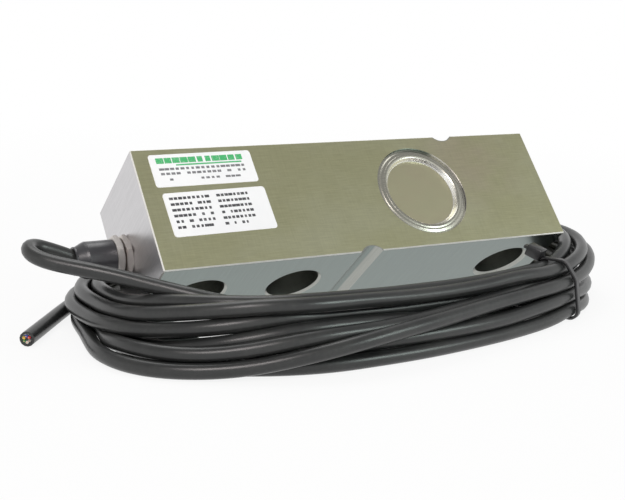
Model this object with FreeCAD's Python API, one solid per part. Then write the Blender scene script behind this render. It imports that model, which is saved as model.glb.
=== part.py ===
"""Shear beam load cell with its cable, lying on one long edge inside the coiled cable.

Millimetres.  The cell is built upright in its own cell frame: X along the beam from
the cable end, Y from the label face to the back face, Z from the mounting face to the
loading face.  lay_down() then turns it onto its lowest long edge and sets the origin
on the ground, under the middle of the rigid pieces.
"""
import FreeCAD, Part
import math
import os

V = FreeCAD.Vector

# ---- Beam -------------------------------------------------------------------------
LENGTH = 171.5            # along X
WIDTH = 42.0              # label face to back face
HEIGHT = 48.0             # mounting face to loading face
EDGE_CHAMFER = 0.4        # broken edges of the ground block
LAID_OVER_DEG = -42.0     # roll about X from upright to the way it lies

MOUNT_BORE_RADIUS = 10.0  # the two bores for the mounting bolts
MOUNT_BORE_FROM_END = 19.05
MOUNT_BORE_PITCH = 38.1
MOUNT_BORE_CHAMFER = 0.8
LOAD_BORE_RADIUS = 10.3   # the single bore that takes the load
LOAD_BORE_TO_PITCH = 95.25  # from the second mounting bore
LOAD_BORE_CHAMFER = 1.2

GROOVE_RADIUS = 5.6       # relief grooves across the beam
GROOVE_DEPTH = 2.2
MOUNT_GROOVE_X = 81.4     # in the mounting face
LOAD_GROOVE_X = 131.3     # in the loading face

# ---- Gauge pockets and their covers ------------------------------------------------
POCKET_X = 112.8
POCKET_RADIUS = 16.0
WEB_THICKNESS = 4.0       # the sheared web between the two pockets
WEB_FILLET = 1.5
COVER_RADIUS = 19.0
COVER_SEAT_DEPTH = 1.5
COVER_CLEARANCE = 0.1
COVER_SHEET = 0.7
COVER_DISC_RADIUS = 14.3  # flat sunk middle of the cover
COVER_DISC_DEPTH = 1.8
COVER_BEAD_RADIUS = 15.9  # crest of the bead round the disc
LINK_HOLE_RADIUS = 1.5    # through the web, for the wires of the front gauge
LINK_HOLE_OFFSET = 12.6

# ---- Cable entry --------------------------------------------------------------------
PORT_Y = 27.5
PORT_Z = 21.0
PORT_RADIUS = 5.7
PORT_DEPTH = 7.4
THREAD_CLEARANCE = 0.1
RING_RECESS_RADIUS = 6.9  # round the mouth of the port, for the sealing ring
RING_RECESS_DEPTH = 0.8
CHANNEL_RADIUS = 1.4      # wire channel from the port to the rear pocket
CHANNEL_WALL = 1.2        # metal between the channel and the mounting bores

HEX_ACROSS_FLATS = 14.0
HEX_TURN_DEG = 188.6      # where the first corner of both hexagons points
FLANGE_THICKNESS = 2.4
THREAD_GAP = 0.7          # thread that shows between the two hexagons
NUT_HEX_THICKNESS = 2.5
NECK_RADIUS = 5.0
NECK_LENGTH = 9.0
SEAL_POCKET_RADIUS = 4.1
SEAL_START = 5.0
SEAL_SQUEEZE_GAP = 0.05
WASHER_THICKNESS = 0.7
NUT_BODY_RADIUS = 6.1
NUT_END_WALL = 2.4
NUT_THREAD_CLEARANCE = 0.12

SLEEVE_WALL = 0.5
SLEEVE_MOUTH_START = 14.0  # distances from the end face of the beam
SLEEVE_CONE_START = 16.3
SLEEVE_CONE_END = 19.0
SLEEVE_END = 19.8
SLEEVE_TIP_RADIUS = 4.9
SLEEVE_LIP = 0.15         # stands proud of the tip
SLEEVE_MOUTH_RADIUS = 4.4

# ---- Cable --------------------------------------------------------------------------
CABLE_RADIUS = 2.65
CABLE_BORE_CLEARANCE = 0.3
BEND_SHARE = 0.45         # of the shorter run, used up by the arc at each point

# the lead from the sleeve to the coil, after its exit: chosen by hand
LEAD_POINTS = [
    (-92.7, 2.82, 25.04), (-98.9, 3.1, 27.9), (-105.2, 3.5, 30.2), (-109.8, 3.3, 31.6),
    (-113.3, 0.1, 32.3), (-114.1, -4.8, 31.7), (-111.4, -9.3, 30.5), (-106.5, -12.6, 29.4),
    (-98.9, -17.2, 28), (-89.5, -22.9, 25.8), (-80.2, -30.1, 23.2), (-69.9, -37.8, 20.9),
    (-58.8, -44.2, 18.4), (-45.8, -48.6, 16), (-29.3, -53.5, 13.6), (-11.3, -61.5, 11.6),
]
# the free end, from the coil to the cut: chosen by hand
TAIL_POINTS = [(-85.3, 30.4, 2.7), (-94.9, 18.6, 2.7), (-105.3, 4.8, 2.7), (-115.6, -8.7, 2.7)]

# the outer boundary of the coil, a belt round these circles: centre and radius of each
COIL_BENDS = [
    ((-76.6, -38.2), 25.2), ((-7.3, 70.4), 150.0), ((57.2, -1.5), 62.5),
    ((79.7, 3.5), 40.0), ((-56.3, 1.5), 42.0),
]
TIED_BEND = COIL_BENDS[2]  # the tie is on the front right bend
COIL_WIDTH = 21.0
COIL_HEIGHT = 22.5
COIL_EDGE_ROUND = 5.0
COIL_LOW_END = (14.9, 0.06, 0.09)  # height at the gland end, then slopes along X and -Y
NEST_CLEARANCE = 0.5      # between the coil and the beam that lies in it

TIE_ANGLE_DEG = -66.7     # round the centre of its bend
TIE_INSET = 2.6           # the tie draws the coil in from its outer boundary
TIE_BUNDLE_WIDTH = 15.9
TIE_BUNDLE_HEIGHT = 20.5
TIE_THICKNESS = 1.1
TIE_BAND_WIDTH = 2.6
TIE_CORNER_SHARE = 0.31   # of the bundle's smaller side
TIE_CLEARANCE = 0.3
TIE_HEAD = (5.2, 6.0, 4.6)  # along the coil, across it, and high
TIE_HEAD_OVERHANG = 3.0   # past the bundle's inner side

# the cut face of the free end
CORE_COLOURS = ("red", "blue", "yellow", "green", "white", "grey")
CORE_RADIUS = 0.5
CORE_RING_RADIUS = 1.06
CORE_PROUD = 0.35
CORE_LENGTH = 6.0
CONDUCTOR_RADIUS = 0.2
CONDUCTOR_PROUD = 0.25
SHIELD_RADIUS = 1.85
SHIELD_WALL = 0.22

# ---- Inside the pockets -------------------------------------------------------------
GAUGE_SIZE = (12.0, 10.0, 0.25)
GRID_BAR = (4.6, 0.35, 0.12)
GRID_BARS = 5
GRID_PITCH = 0.75
BOARD_SIZE = (17.0, 6.0, 1.0)
BOARD_OFFSET = 8.7
RESISTOR_SIZE = (2.6, 1.3, 0.7)
RESISTOR_COUNT = 4
JUMPER_RADIUS = 0.3
JUMPER_COUNT = 4
WIRE_CLEARANCE = 0.3

# ---- Labels -------------------------------------------------------------------------
LABEL_THICKNESS = 0.2
LABEL_CORNER = 1.2
LABEL_FROM_TOP = 2.6
LABEL_SPACE = 2.5         # between the two labels
UPPER_LABEL = (5.9, 39.4, 13.3, 0.35)  # X, width, height, turn in degrees
LOWER_LABEL = (7.3, 39.3, 17.4, 0.80)

# ---- Worked out from the sizes above --------------------------------------------------
MOUNT_BORES_X = (MOUNT_BORE_FROM_END, MOUNT_BORE_FROM_END + MOUNT_BORE_PITCH)
LOAD_BORE_X = MOUNT_BORES_X[1] + LOAD_BORE_TO_PITCH
MIDDLE_Y = WIDTH / 2
POCKET_Z = HEIGHT / 2
WEB_FRONT = (WIDTH - WEB_THICKNESS) / 2
WEB_BACK = (WIDTH + WEB_THICKNESS) / 2
CHANNEL_Y = MIDDLE_Y + MOUNT_BORE_RADIUS + CHANNEL_WALL + CHANNEL_RADIUS
THREAD_RADIUS = PORT_RADIUS - THREAD_CLEARANCE
SPIGOT_DEPTH = PORT_DEPTH - 1.0
CABLE_BORE = CABLE_RADIUS + CABLE_BORE_CLEARANCE
NUT_START = FLANGE_THICKNESS + THREAD_GAP
NUT_BODY_START = NUT_START + NUT_HEX_THICKNESS
WASHER_START = NECK_LENGTH + SEAL_SQUEEZE_GAP
NUT_END = WASHER_START + WASHER_THICKNESS + NUT_END_WALL
UPPER_LABEL_Z = HEIGHT - LABEL_FROM_TOP - UPPER_LABEL[2]
LOWER_LABEL_Z = UPPER_LABEL_Z - LABEL_SPACE - LOWER_LABEL[2]
TIE_OUTER = TIED_BEND[1] - TIE_INSET
TIE_INNER = TIE_OUTER - TIE_BUNDLE_WIDTH
TIE_LOW = TIE_THICKNESS
TIE_HIGH = TIE_LOW + TIE_BUNDLE_HEIGHT
TIE_CORNER = TIE_CORNER_SHARE * min(TIE_BUNDLE_WIDTH, TIE_BUNDLE_HEIGHT)


def save(name, shape):
    """Write one sub-part and report its size."""
    solids = shape.Solids
    whole = Part.makeCompound(solids) if len(solids) > 1 else solids[0]
    if not whole.isValid():
        raise RuntimeError(name + " is not a valid solid")
    whole.exportStep("parts/" + name + ".step")
    print("%-22s solids %2d  volume %10.1f  faces %4d" % (name, len(solids), whole.Volume, len(whole.Faces)))


def box(x0, y0, z0, x1, y1, z1):
    """A box between two corners."""
    return Part.makeBox(x1 - x0, y1 - y0, z1 - z0, V(x0, y0, z0))


def rod(start, axis, radius, length):
    """A round bar from a point, along a direction."""
    return Part.makeCylinder(radius, length, V(*start), V(*axis))


def turned(profile, start, axis):
    """Revolve (radius, height) points about an axis that starts at a point."""
    points = [V(radius, 0, height) for radius, height in profile]
    points.append(points[0])
    solid = Part.Face(Part.makePolygon(points)).revolve(V(0, 0, 0), V(0, 0, 1), 360)
    solid.Placement = FreeCAD.Placement(V(*start), FreeCAD.Rotation(V(0, 0, 1), V(*axis)))
    return Part.Solid(solid) if solid.ShapeType != "Solid" else solid


def chamfered_bore(x, radius, chamfer):
    """The tool for a bore along Z, with its chamfer at both faces."""
    profile = [(0, -1), (radius + chamfer + 1, -1), (radius, chamfer), (radius, HEIGHT - chamfer),
               (radius + chamfer + 1, HEIGHT + 1), (0, HEIGHT + 1)]
    return turned(profile, (x, MIDDLE_Y, 0), (0, 0, 1))


def pocket_tool(face_y, floor_y):
    """The tool for one gauge pocket: the seat of its cover, then the round hole to the web."""
    inward = 1 if floor_y > face_y else -1
    depth = abs(floor_y - face_y)
    seat = COVER_RADIUS + COVER_CLEARANCE
    profile = [(0, -1), (seat, -1), (seat, COVER_SEAT_DEPTH), (POCKET_RADIUS, COVER_SEAT_DEPTH),
               (POCKET_RADIUS, depth - WEB_FILLET), (POCKET_RADIUS - WEB_FILLET, depth), (0, depth)]
    return turned(profile, (POCKET_X, face_y, POCKET_Z), (0, inward, 0))


def groove_tool(x, face_z):
    """The tool for a relief groove across one face."""
    outward = 1 if face_z > 0 else -1
    centre_z = face_z + outward * (GROOVE_RADIUS - GROOVE_DEPTH)
    return rod((x, -1, centre_z), (0, 1, 0), GROOVE_RADIUS, WIDTH + 2)


def beam_body():
    """The one-piece beam, with its bores, grooves, pockets, cable port and wire channel."""
    block = box(0, 0, 0, LENGTH, WIDTH, HEIGHT)
    block = block.makeChamfer(EDGE_CHAMFER, block.Edges)
    tools = [chamfered_bore(x, MOUNT_BORE_RADIUS, MOUNT_BORE_CHAMFER) for x in MOUNT_BORES_X]
    tools.append(chamfered_bore(LOAD_BORE_X, LOAD_BORE_RADIUS, LOAD_BORE_CHAMFER))
    tools.append(groove_tool(MOUNT_GROOVE_X, 0))
    tools.append(groove_tool(LOAD_GROOVE_X, HEIGHT))
    tools.append(pocket_tool(0, WEB_FRONT))
    tools.append(pocket_tool(WIDTH, WEB_BACK))
    tools.append(rod((POCKET_X - LINK_HOLE_OFFSET, WEB_FRONT - 1, POCKET_Z), (0, 1, 0),
                     LINK_HOLE_RADIUS, WEB_THICKNESS + 2))
    tools.append(rod((-1, PORT_Y, PORT_Z), (1, 0, 0), PORT_RADIUS, PORT_DEPTH + 1))
    tools.append(rod((-1, PORT_Y, PORT_Z), (1, 0, 0), RING_RECESS_RADIUS, RING_RECESS_DEPTH + 1))
    tools.append(rod((SPIGOT_DEPTH, CHANNEL_Y, PORT_Z), (1, 0, 0), CHANNEL_RADIUS,
                     POCKET_X - POCKET_RADIUS + 2 - SPIGOT_DEPTH))
    return block.cut(tools)


def pocket_cover(face_y, outward):
    """A turned cover: flat rim on the seat, a bead round a sunk disc."""
    inner_wall = COVER_DISC_RADIUS + 0.9
    under_disc = -COVER_DISC_DEPTH - COVER_SHEET
    profile = [
        (0, under_disc), (inner_wall, under_disc), (inner_wall, -COVER_SEAT_DEPTH),
        (COVER_RADIUS, -COVER_SEAT_DEPTH), (COVER_RADIUS, -COVER_SEAT_DEPTH / 2),
        (COVER_BEAD_RADIUS + 0.8, -0.12), (COVER_BEAD_RADIUS + 0.4, -0.02),
        (COVER_BEAD_RADIUS - 0.4, -0.02), (COVER_BEAD_RADIUS - 0.9, -0.30),
        (COVER_DISC_RADIUS + 0.25, -COVER_DISC_DEPTH + 0.45),
        (COVER_DISC_RADIUS, -COVER_DISC_DEPTH), (0, -COVER_DISC_DEPTH),
    ]
    return turned(profile, (POCKET_X, face_y, POCKET_Z), (0, outward, 0))


def strain_gauge(face_y, outward):
    """A shear gauge: a thin carrier with two bar grids at right angles, 45 degrees to the beam."""
    width, height, thickness = GAUGE_SIZE
    carrier = Part.makeBox(width, height, thickness, V(-width / 2, -height / 2, 0))
    bars = []
    for side, turn in ((-1, 45), (1, -45)):
        for index in range(GRID_BARS):
            length, breadth, rise = GRID_BAR
            bar = Part.makeBox(length, breadth, rise, V(-length / 2, -breadth / 2, thickness))
            bar.translate(V(0, (index - (GRID_BARS - 1) / 2) * GRID_PITCH, 0))
            bar.rotate(V(0, 0, 0), V(0, 0, 1), turn)
            bar.translate(V(side * width / 4.2, 0, 0))
            bars.append(bar)
    gauge = carrier.fuse(bars).removeSplitter()
    return on_web(gauge, face_y, outward, 0)


def on_web(shape, face_y, outward, rise_z):
    """Set a piece built on the XY plane down on the web, on the pocket's axis."""
    upright = FreeCAD.Rotation(V(1, 0, 0), 90 if outward < 0 else -90)
    shape.Placement = FreeCAD.Placement(V(POCKET_X, face_y, POCKET_Z + rise_z), upright)
    return shape


def terminal_board():
    """The small board that joins the bridge wires to the cable."""
    length, breadth, thickness = BOARD_SIZE
    board = Part.makeBox(length, breadth, thickness, V(-length / 2, -breadth / 2, 0))
    return on_web(board, WEB_BACK, 1, BOARD_OFFSET)


def trim_resistors():
    """The row of trimming resistors on the board."""
    length, breadth, thickness = RESISTOR_SIZE
    pitch = BOARD_SIZE[0] / RESISTOR_COUNT
    pieces = []
    for index in range(RESISTOR_COUNT):
        x = (index - (RESISTOR_COUNT - 1) / 2) * pitch
        pieces.append(Part.makeBox(length, breadth, thickness,
                                   V(x - length / 2, -breadth / 2, BOARD_SIZE[2])))
    return on_web(Part.makeCompound(pieces), WEB_BACK, 1, BOARD_OFFSET)


def jumper_wires():
    """Short wires on the web from the rear gauge to the board."""
    start = GAUGE_SIZE[1] / 2
    length = BOARD_OFFSET - BOARD_SIZE[1] / 2 - start
    pitch = GAUGE_SIZE[0] / JUMPER_COUNT
    return Part.makeCompound([
        rod((POCKET_X + (index - (JUMPER_COUNT - 1) / 2) * pitch, WEB_BACK + JUMPER_RADIUS,
             POCKET_Z + start), (0, 0, 1), JUMPER_RADIUS, length)
        for index in range(JUMPER_COUNT)])


def link_wires():
    """The wires of the front gauge, through the hole in the web."""
    return rod((POCKET_X - LINK_HOLE_OFFSET, WEB_FRONT, POCKET_Z), (0, 1, 0),
               LINK_HOLE_RADIUS - WIRE_CLEARANCE, WEB_THICKNESS)


def channel_wires():
    """The cable's cores in the channel, from the port to the rear pocket."""
    radius = CHANNEL_RADIUS - WIRE_CLEARANCE
    start = PORT_DEPTH
    return rod((start, CHANNEL_Y, PORT_Z), (1, 0, 0), radius, POCKET_X - POCKET_RADIUS - start)


def outward_rod(radius, near, far):
    """A bar on the port's axis between two distances out from the end face."""
    return rod((-near, PORT_Y, PORT_Z), (-1, 0, 0), radius, far - near)


def hexagon(near, far):
    """A chamfered hexagon on the port's axis between two distances out."""
    corner = HEX_ACROSS_FLATS / 2 / math.cos(math.pi / 6)
    points = []
    for index in range(7):
        angle = math.radians(HEX_TURN_DEG + 60 * index)
        points.append(V(-near, PORT_Y + corner * math.cos(angle), PORT_Z + corner * math.sin(angle)))
    prism = Part.Face(Part.makePolygon(points)).extrude(V(near - far, 0, 0))
    bevel = corner - HEX_ACROSS_FLATS / 2
    thickness = far - near
    rounding = turned([(0, 0), (corner - bevel, 0), (corner, bevel * 0.6),
                       (corner, thickness - bevel * 0.6), (corner - bevel, thickness), (0, thickness)],
                      (-near, PORT_Y, PORT_Z), (-1, 0, 0))
    return prism.common(rounding)


def gland_body():
    """The gland's body: spigot in the port, hexagon flange, and the neck that holds the seal."""
    spigot = outward_rod(THREAD_RADIUS, -SPIGOT_DEPTH, 0)
    flange = hexagon(0, FLANGE_THICKNESS)
    neck = outward_rod(NECK_RADIUS, FLANGE_THICKNESS, NECK_LENGTH)
    bore = outward_rod(CABLE_BORE, -SPIGOT_DEPTH - 1, NECK_LENGTH + 1)
    seal_pocket = outward_rod(SEAL_POCKET_RADIUS, SEAL_START, NECK_LENGTH + 1)
    return spigot.fuse([flange, neck]).cut([bore, seal_pocket]).removeSplitter()


def gland_ring():
    """The sealing ring in the recess round the port."""
    section = RING_RECESS_DEPTH / 2
    centre = THREAD_RADIUS + section + THREAD_CLEARANCE
    return Part.makeTorus(centre, section, V(section, PORT_Y, PORT_Z), V(1, 0, 0))


def gland_seal():
    """The rubber bush that the nut squeezes onto the cable."""
    outer = outward_rod(SEAL_POCKET_RADIUS - SEAL_SQUEEZE_GAP, SEAL_START, NECK_LENGTH)
    return outer.cut(outward_rod(CABLE_RADIUS + SEAL_SQUEEZE_GAP, SEAL_START - 1, NECK_LENGTH + 1))


def gland_washer():
    """The thrust washer between the nut and the seal."""
    outer = outward_rod(NECK_RADIUS - 2 * SEAL_SQUEEZE_GAP, WASHER_START, WASHER_START + WASHER_THICKNESS)
    return outer.cut(outward_rod(CABLE_BORE, WASHER_START - 1, WASHER_START + WASHER_THICKNESS + 1))


def gland_nut():
    """The clamping nut: hexagon, round body, and the end wall that bears on the washer."""
    body = outward_rod(NUT_BODY_RADIUS, NUT_BODY_START, NUT_END)
    thread = outward_rod(NECK_RADIUS + NUT_THREAD_CLEARANCE, NUT_START - 1, WASHER_START + WASHER_THICKNESS)
    bore = outward_rod(CABLE_BORE, NUT_START - 1, NUT_END + 1)
    return hexagon(NUT_START, NUT_BODY_START).fuse(body).cut([thread, bore]).removeSplitter()


def relief_sleeve():
    """The moulded sleeve over the nut's body, tapering to a lip round an open mouth."""
    outer = NUT_BODY_RADIUS + SLEEVE_WALL
    lip = SLEEVE_TIP_RADIUS + SLEEVE_LIP
    inside = [(SLEEVE_MOUTH_RADIUS, SLEEVE_END), (CABLE_RADIUS, SLEEVE_MOUTH_START),
              (CABLE_RADIUS, NUT_END + 0.6), (NUT_BODY_RADIUS - 1.6, NUT_END),
              (NUT_BODY_RADIUS, NUT_END), (NUT_BODY_RADIUS, NUT_BODY_START)]
    outside = [(outer, NUT_BODY_START), (outer, SLEEVE_CONE_START - 0.8), (outer - 0.3, SLEEVE_CONE_START),
               (SLEEVE_TIP_RADIUS, SLEEVE_CONE_END), (lip, SLEEVE_CONE_END + SLEEVE_LIP),
               (lip, SLEEVE_END - SLEEVE_LIP), (SLEEVE_TIP_RADIUS, SLEEVE_END)]
    return turned(inside + outside, (0, PORT_Y, PORT_Z), (-1, 0, 0))


def entry_cable():
    """The jacketed cable inside the gland, as far as the sleeve's mouth."""
    return outward_rod(CABLE_RADIUS, -SPIGOT_DEPTH, SLEEVE_MOUTH_START)


def label(z, size):
    """A thin label with rounded corners on the label face."""
    x, width, height, turn = size
    sheet = box(x, -LABEL_THICKNESS, z, x + width, 0, z + height)
    corners = [edge for edge in sheet.Edges if abs(edge.Length - LABEL_THICKNESS) < 1e-6]
    sheet = sheet.makeFillet(LABEL_CORNER, corners)
    sheet.rotate(V(x, 0, z), V(0, -1, 0), turn)
    return sheet


def coil_section(bend, angle):
    """The coil's cross-section, a rounded rectangle, where a bend is cut at an angle."""
    (x, y), radius = bend
    section = Part.makePlane(COIL_WIDTH, COIL_HEIGHT, V(radius - COIL_WIDTH, 0, 0), V(0, -1, 0), V(1, 0, 0))
    solid = section.extrude(V(0, 1, 0))
    upright = [edge for edge in solid.Edges if abs(edge.BoundBox.YLength - 1) < 1e-6]
    solid = solid.makeFillet(COIL_EDGE_ROUND, upright)
    face = min(solid.Faces, key=lambda candidate: candidate.CenterOfMass.y)
    face.Placement = FreeCAD.Placement(V(x, y, 0), FreeCAD.Rotation(V(0, 0, 1), math.degrees(angle)))
    return face


def rim_point(bend, angle):
    """The point of a bend's outer edge at an angle."""
    (x, y), radius = bend
    return V(x + radius * math.cos(angle), y + radius * math.sin(angle), 0)


def leaving_angle(bend, following):
    """Where the belt leaves a bend for the next one, as an angle round the bend."""
    (x1, y1), r1 = bend
    (x2, y2), r2 = following
    span = math.hypot(x2 - x1, y2 - y1)
    return math.atan2(y2 - y1, x2 - x1) - math.acos((r1 - r2) / span)


def coil_ring():
    """The closed ring of the coil: its bends joined by straight runs."""
    count = len(COIL_BENDS)
    leaving = [leaving_angle(COIL_BENDS[index], COIL_BENDS[(index + 1) % count]) for index in range(count)]
    pieces = []
    for index, bend in enumerate(COIL_BENDS):
        (x, y), _ = bend
        first = leaving[index - 1]
        sweep = (leaving[index] - first) % (2 * math.pi)
        section = coil_section(bend, first)
        pieces.append(section.revolve(V(x, y, 0), V(0, 0, 1), math.degrees(sweep)))
        following = COIL_BENDS[(index + 1) % count]
        run = rim_point(following, leaving[index]) - rim_point(bend, leaving[index])
        if run.Length > 1e-3:
            pieces.append(coil_section(bend, leaving[index]).extrude(run))
    return pieces[0].fuse(pieces[1:]).removeSplitter()


def tie_placement():
    """The tie's own frame: X outwards across the coil, Y up, Z along the coil."""
    angle = math.radians(TIE_ANGLE_DEG)
    across = V(math.cos(angle), math.sin(angle), 0)
    along = V(math.sin(angle), -math.cos(angle), 0)
    (cx, cy), _ = TIED_BEND
    matrix = FreeCAD.Matrix(across.x, 0, along.x, cx, across.y, 0, along.y, cy, 0, 1, 0, 0, 0, 0, 0, 1)
    return FreeCAD.Placement(matrix)


def band(grow, half_width):
    """A rounded block round the tied bundle, grown on every side, in the tie's own frame."""
    block = box(TIE_INNER - grow, TIE_LOW - grow, -half_width, TIE_OUTER + grow, TIE_HIGH + grow, half_width)
    corners = [edge for edge in block.Edges if abs(edge.Length - 2 * half_width) < 1e-6]
    return block.makeFillet(TIE_CORNER + grow, corners)


def cable_tie():
    """The tie: its band round the coil and its locking head on top."""
    half = TIE_BAND_WIDTH / 2
    loop = band(TIE_THICKNESS, half).cut(band(0, half + 1))
    length, breadth, height = TIE_HEAD
    x = TIE_INNER - TIE_HEAD_OVERHANG
    y = TIE_HIGH
    head = box(x, y, -length / 2, x + breadth, y + height, length / 2)
    head = head.makeFillet(0.6, head.Edges).cut(band(0, half + 2))
    tie = loop.fuse(head).removeSplitter()
    tie.Placement = tie_placement()
    return tie


def cable_coil(nest):
    """The outer shape of the coil: a rounded ring, lower under the gland, open for beam and tie."""
    ring = coil_ring()
    bounds = ring.BoundBox
    low, along, across = COIL_LOW_END
    corners = []
    for x, y in ((bounds.XMin - 1, bounds.YMax + 1), (bounds.XMin - 1, bounds.YMin - 1),
                 (bounds.XMax + 1, bounds.YMin - 1), (bounds.XMax + 1, bounds.YMax + 1)):
        corners.append(V(x, y, low + along * (x - bounds.XMin) - across * y))
    slope = Part.Face(Part.makePolygon(corners + corners[:1])).extrude(V(0, 0, COIL_HEIGHT))
    gap = TIE_CLEARANCE
    half = TIE_BAND_WIDTH / 2 + gap
    above = TIE_HIGH + COIL_HEIGHT
    collar = box(TIE_OUTER - COIL_WIDTH, -gap, -half, TIE_OUTER + COIL_WIDTH, above, half)
    collar = collar.cut(band(-gap, half + gap))
    length, breadth, height = TIE_HEAD
    inner = TIE_INNER - TIE_HEAD_OVERHANG
    seat = box(inner - gap, TIE_HIGH - gap, -length / 2 - gap, inner + breadth + gap, above, length / 2 + gap)
    collar.Placement = tie_placement()
    seat.Placement = tie_placement()
    return ring.cut([slope, nest, collar, seat])


def route(points, name):
    """The wire of straight runs joined by tangent arcs through a list of points."""
    points = [V(*point) for point in points]
    edges = []
    radii = []
    last = points[0]
    for before, corner, after in zip(points, points[1:], points[2:]):
        run_in = corner - before
        run_out = after - corner
        reach = BEND_SHARE * min(run_in.Length, run_out.Length)
        turn = run_in.getAngle(run_out)
        first = corner - run_in.normalize() * reach
        final = corner + run_out.normalize() * reach
        radius = reach / math.tan(turn / 2)
        radii.append(radius)
        to_middle = (first + final) * 0.5 - corner
        gap = to_middle.Length / (1 + math.cos(turn / 2))
        middle = corner + to_middle.normalize() * gap
        edges.append(Part.LineSegment(last, first).toShape())
        edges.append(Part.Arc(first, middle, final).toShape())
        last = final
    edges.append(Part.LineSegment(last, points[-1]).toShape())
    wire = Part.Wire(edges)
    print("%s: length %.1f, radii %s" % (name, wire.Length, " ".join("%.1f" % radius for radius in radii)))
    return wire


def tube(points, name):
    """A plain round cable along a list of points."""
    wire = route(points, name)
    start = wire.Edges[0].firstVertex().Point
    heading = wire.Edges[0].tangentAt(wire.Edges[0].FirstParameter)
    ring = Part.Wire(Part.Circle(start, heading, CABLE_RADIUS).toShape())
    solid = wire.makePipeShell([ring], True, False)
    expected = math.pi * CABLE_RADIUS ** 2 * wire.Length
    print("%s: volume %.1f of %.1f" % (name, solid.Volume, expected))
    return solid


def at_cut_end(shape):
    """Set a piece built along Z onto the cut end, with Z pointing out of the cable."""
    last, before = V(*TAIL_POINTS[-1]), V(*TAIL_POINTS[-2])
    shape.Placement = FreeCAD.Placement(last, FreeCAD.Rotation(V(0, 0, 1), last - before))
    return shape


def core_centre(index):
    """Where one core lies in the ring of cores."""
    angle = 2 * math.pi * index / len(CORE_COLOURS)
    return V(CORE_RING_RADIUS * math.cos(angle), CORE_RING_RADIUS * math.sin(angle), -CORE_LENGTH)


def core(index):
    """One core's insulation, a tube that stands a little proud of the cut jacket."""
    length = CORE_LENGTH + CORE_PROUD
    outer = Part.makeCylinder(CORE_RADIUS, length, core_centre(index))
    return at_cut_end(outer.cut(Part.makeCylinder(CONDUCTOR_RADIUS, length, core_centre(index))))


def core_conductors():
    """The copper in every core."""
    length = CORE_LENGTH + CORE_PROUD + CONDUCTOR_PROUD
    wires = [Part.makeCylinder(CONDUCTOR_RADIUS, length, core_centre(index))
             for index in range(len(CORE_COLOURS))]
    return at_cut_end(Part.makeCompound(wires))


def cable_shield():
    """The braid between the cores and the jacket, cut flush."""
    base = V(0, 0, -CORE_LENGTH)
    outer = Part.makeCylinder(SHIELD_RADIUS, CORE_LENGTH, base)
    return at_cut_end(outer.cut(Part.makeCylinder(SHIELD_RADIUS - SHIELD_WALL, CORE_LENGTH, base)))


def cable_tail(coil):
    """The free end, hollow near its cut for the braid and the cores."""
    hollow = at_cut_end(Part.makeCylinder(SHIELD_RADIUS, CORE_LENGTH + 1, V(0, 0, -CORE_LENGTH)))
    return tube(TAIL_POINTS, "cable_tail").cut([coil, hollow])


def main():
    """Build every sub-part, lay the cell down in its coil, and write the files."""
    os.makedirs("parts", exist_ok=True)
    rigid = {
        "beam_body": beam_body(),
        "front_pocket_cover": pocket_cover(0, -1),
        "rear_pocket_cover": pocket_cover(WIDTH, 1),
        "front_strain_gauge": strain_gauge(WEB_FRONT, -1),
        "rear_strain_gauge": strain_gauge(WEB_BACK, 1),
        "terminal_board": terminal_board(),
        "trim_resistors": trim_resistors(),
        "jumper_wires": jumper_wires(),
        "link_wires": link_wires(),
        "channel_wires": channel_wires(),
        "gland_body": gland_body(),
        "gland_ring": gland_ring(),
        "gland_seal": gland_seal(),
        "gland_washer": gland_washer(),
        "gland_nut": gland_nut(),
        "relief_sleeve": relief_sleeve(),
        "entry_cable": entry_cable(),
        "upper_label": label(UPPER_LABEL_Z, UPPER_LABEL),
        "lower_label": label(LOWER_LABEL_Z, LOWER_LABEL),
    }
    roll = FreeCAD.Placement(V(0, 0, 0), FreeCAD.Rotation(V(1, 0, 0), LAID_OVER_DEG))
    together = Part.makeCompound(list(rigid.values()))
    together.transformShape(roll.toMatrix())
    bounds = together.optimalBoundingBox(False)
    ground = V(-bounds.Center.x, -bounds.Center.y, -bounds.ZMin)
    lay = FreeCAD.Placement(ground, roll.Rotation)
    print("cell frame to row frame: shift %.4f %.4f %.4f" % tuple(ground))

    def laid(shape):
        """One piece, moved from the cell frame to the way it lies."""
        shape.transformShape(lay.toMatrix())
        return shape

    for name, shape in rigid.items():
        save(name, laid(shape))

    gap = NEST_CLEARANCE
    nest = laid(box(-gap, -gap, -gap, LENGTH + gap, WIDTH + gap, HEIGHT + gap))
    coil = cable_coil(nest)
    save("cable_coil", coil)
    leaving = lay.multVec(V(-SLEEVE_MOUTH_START, PORT_Y, PORT_Z))
    lead = tube([tuple(leaving)] + LEAD_POINTS, "cable_lead")
    save("cable_lead", lead.cut(coil))
    save("cable_tail", cable_tail(coil))
    save("cable_tie", cable_tie())
    for index, colour in enumerate(CORE_COLOURS):
        save("core_" + colour, core(index))
    save("core_conductors", core_conductors())
    save("cable_shield", cable_shield())


main()
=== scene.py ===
"""Shear beam load cell with its coiled cable, dressed for a soft studio view.

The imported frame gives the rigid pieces, in metres and in their places.  This script
winds the cable, ties it, prints the labels, cuts the thread of the gland and gives
every piece its finish.
"""

import logging
import math
from dataclasses import dataclass, field
from enum import Enum
from itertools import combinations

import bmesh
import bpy
import numpy as np
from mathutils import Matrix, Vector


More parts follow.
